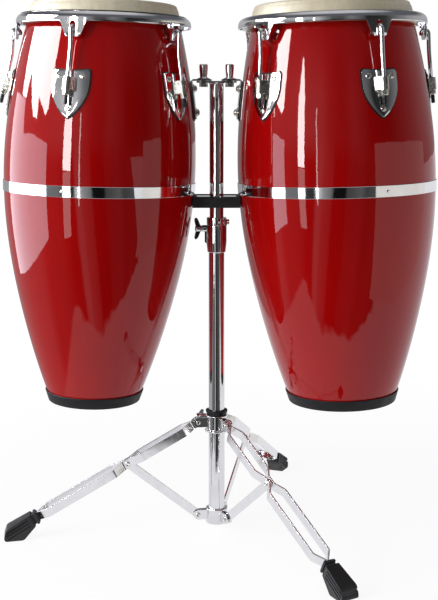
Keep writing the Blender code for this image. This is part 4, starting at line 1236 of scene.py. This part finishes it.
def card(name, place, outline, radiance, colour=(1.0, 1.0, 1.0)):
    """A glowing card in the x-z plane of its place, seen in mirrors only."""
    bm = bmesh.new()
    bm.faces.new([bm.verts.new(place @ Vector((x, 0, 0)) + Vector((0, 0, z))) for x, z in outline])
    material = bpy.data.materials.new(name)
    material.use_nodes = True
    tree = material.node_tree
    glow = node(tree, "Emission", {"Color": colour, "Strength": radiance})
    tree.links.new(glow.outputs[0], tree.nodes["Material Output"].inputs["Surface"])
    obj = stage_mesh(name, bm, material)
    obj.visible_camera = False
    obj.visible_diffuse = False
    obj.visible_shadow = False


def softbox(name, centre, facing, width, tall, radiance, mirrored=True):
    """A rectangular light that the camera can't see. One that is mirrored shows in glossy surfaces only,
    where radiance 1 looks white, and the others light only matt ones."""
    light = bpy.data.lights.new(name, "AREA")
    light.shape = "RECTANGLE"
    light.size = width
    light.size_y = tall
    light.energy = 4 * radiance * width * tall
    obj = linked(name, light)
    obj.location = centre
    obj.rotation_euler = (Vector(facing) - Vector(centre)).to_track_quat("-Z", "Y").to_euler()
    obj.visible_camera = False
    obj.visible_glossy = mirrored
    obj.visible_diffuse = not mirrored


def build_lights():
    """A tall window on the left with a paler wall below it, narrow gaps of light beside the camera, a low
    white screen on the right, and a broad soft key light."""
    window = axes_frame((-1.60, 0, 0), (0, 1, 0), (1, 0, 0))
    card("window", window, WINDOW, 24)
    card("wall_below_window", window, WALL, 4.6, (0.95, 0.99, 1.10))
    gap = axes_frame((-1.03, -1.32, 0), (0.84, -0.54, 0), (1.0, 1.32, 0))
    card("gap_of_light", gap, GAP_OF_LIGHT, 23)
    card("below_gap", gap, BELOW_GAP, 3.0)
    softbox("thin_gap", (-1.07, -2.60, 0.55), (0, 0, 0.55), 0.06, 1.5, 7)
    screen = axes_frame((0.69, -0.69, 0), (0.72, 0.70, 0), (-0.70, 0.72, 0))
    card("white_screen", screen, SCREEN, 0.78, (1.03, 1.0, 0.96))
    softbox("key", (-2.3, -1.2, 1.1), (0, 0, 0.5), 1.6, 1.8, 5.5, mirrored=False)
    softbox("fill", (0.8, -2.6, 1.3), (0, 0, 0.5), 1.6, 1.6, 0.9, mirrored=False)


def shift_at_home(data, name, camera, amount):
    """A lens shift that holds at the camera's own place. From anywhere else the view is centred."""
    curve = data.driver_add(name)
    curve.driver.type = "SUM"
    place = curve.driver.variables.new()
    place.type = "TRANSFORMS"
    place.targets[0].id = camera
    place.targets[0].transform_type = "LOC_Y"
    for modifier in list(curve.modifiers):
        curve.modifiers.remove(modifier)
    home = camera.location.y
    for y, value in ((home - 0.06, 0.0), (home - 0.03, amount), (home + 0.03, amount), (home + 0.06, 0.0)):
        curve.keyframe_points.insert(y, value).interpolation = "LINEAR"
    curve.extrapolation = "CONSTANT"


def build_camera():
    """Level, at the height of the drums' upper halves. The lens is shifted down only at this viewpoint."""
    data = bpy.data.cameras.new("camera")
    data.sensor_width = 36
    data.lens = LENS
    data.clip_start = 0.1
    camera = linked("camera", data)
    camera.location = CAMERA_PLACE
    camera.rotation_euler = (pi / 2, 0, 0)
    for name, amount in LENS_SHIFT.items():
        shift_at_home(data, name, camera, amount)
    bpy.context.scene.camera = camera


def build_stage():
    build_floor()
    build_world()
    build_lights()
    build_camera()
    bpy.context.scene.view_settings.view_transform = "Standard"


# ---------------------------------------------------------------- the whole object
def build_drums():
    drums = [Drum(side) for side in SIDES]
    for drum in drums:
        build_shell(drum)
        build_band(drum)
        build_ring(drum)
        build_head(drum)
        build_rim(drum)
        build_stations(drum)
        build_bracket(drum)
    return drums


build_saddle(build_drums())
build_lower_tube()
build_lock()
build_upper_tube()
build_mount_bolts()
build_wing_bolts()
build_collar()
build_tripod()
build_stage()

bpy.context.view_layer.update()
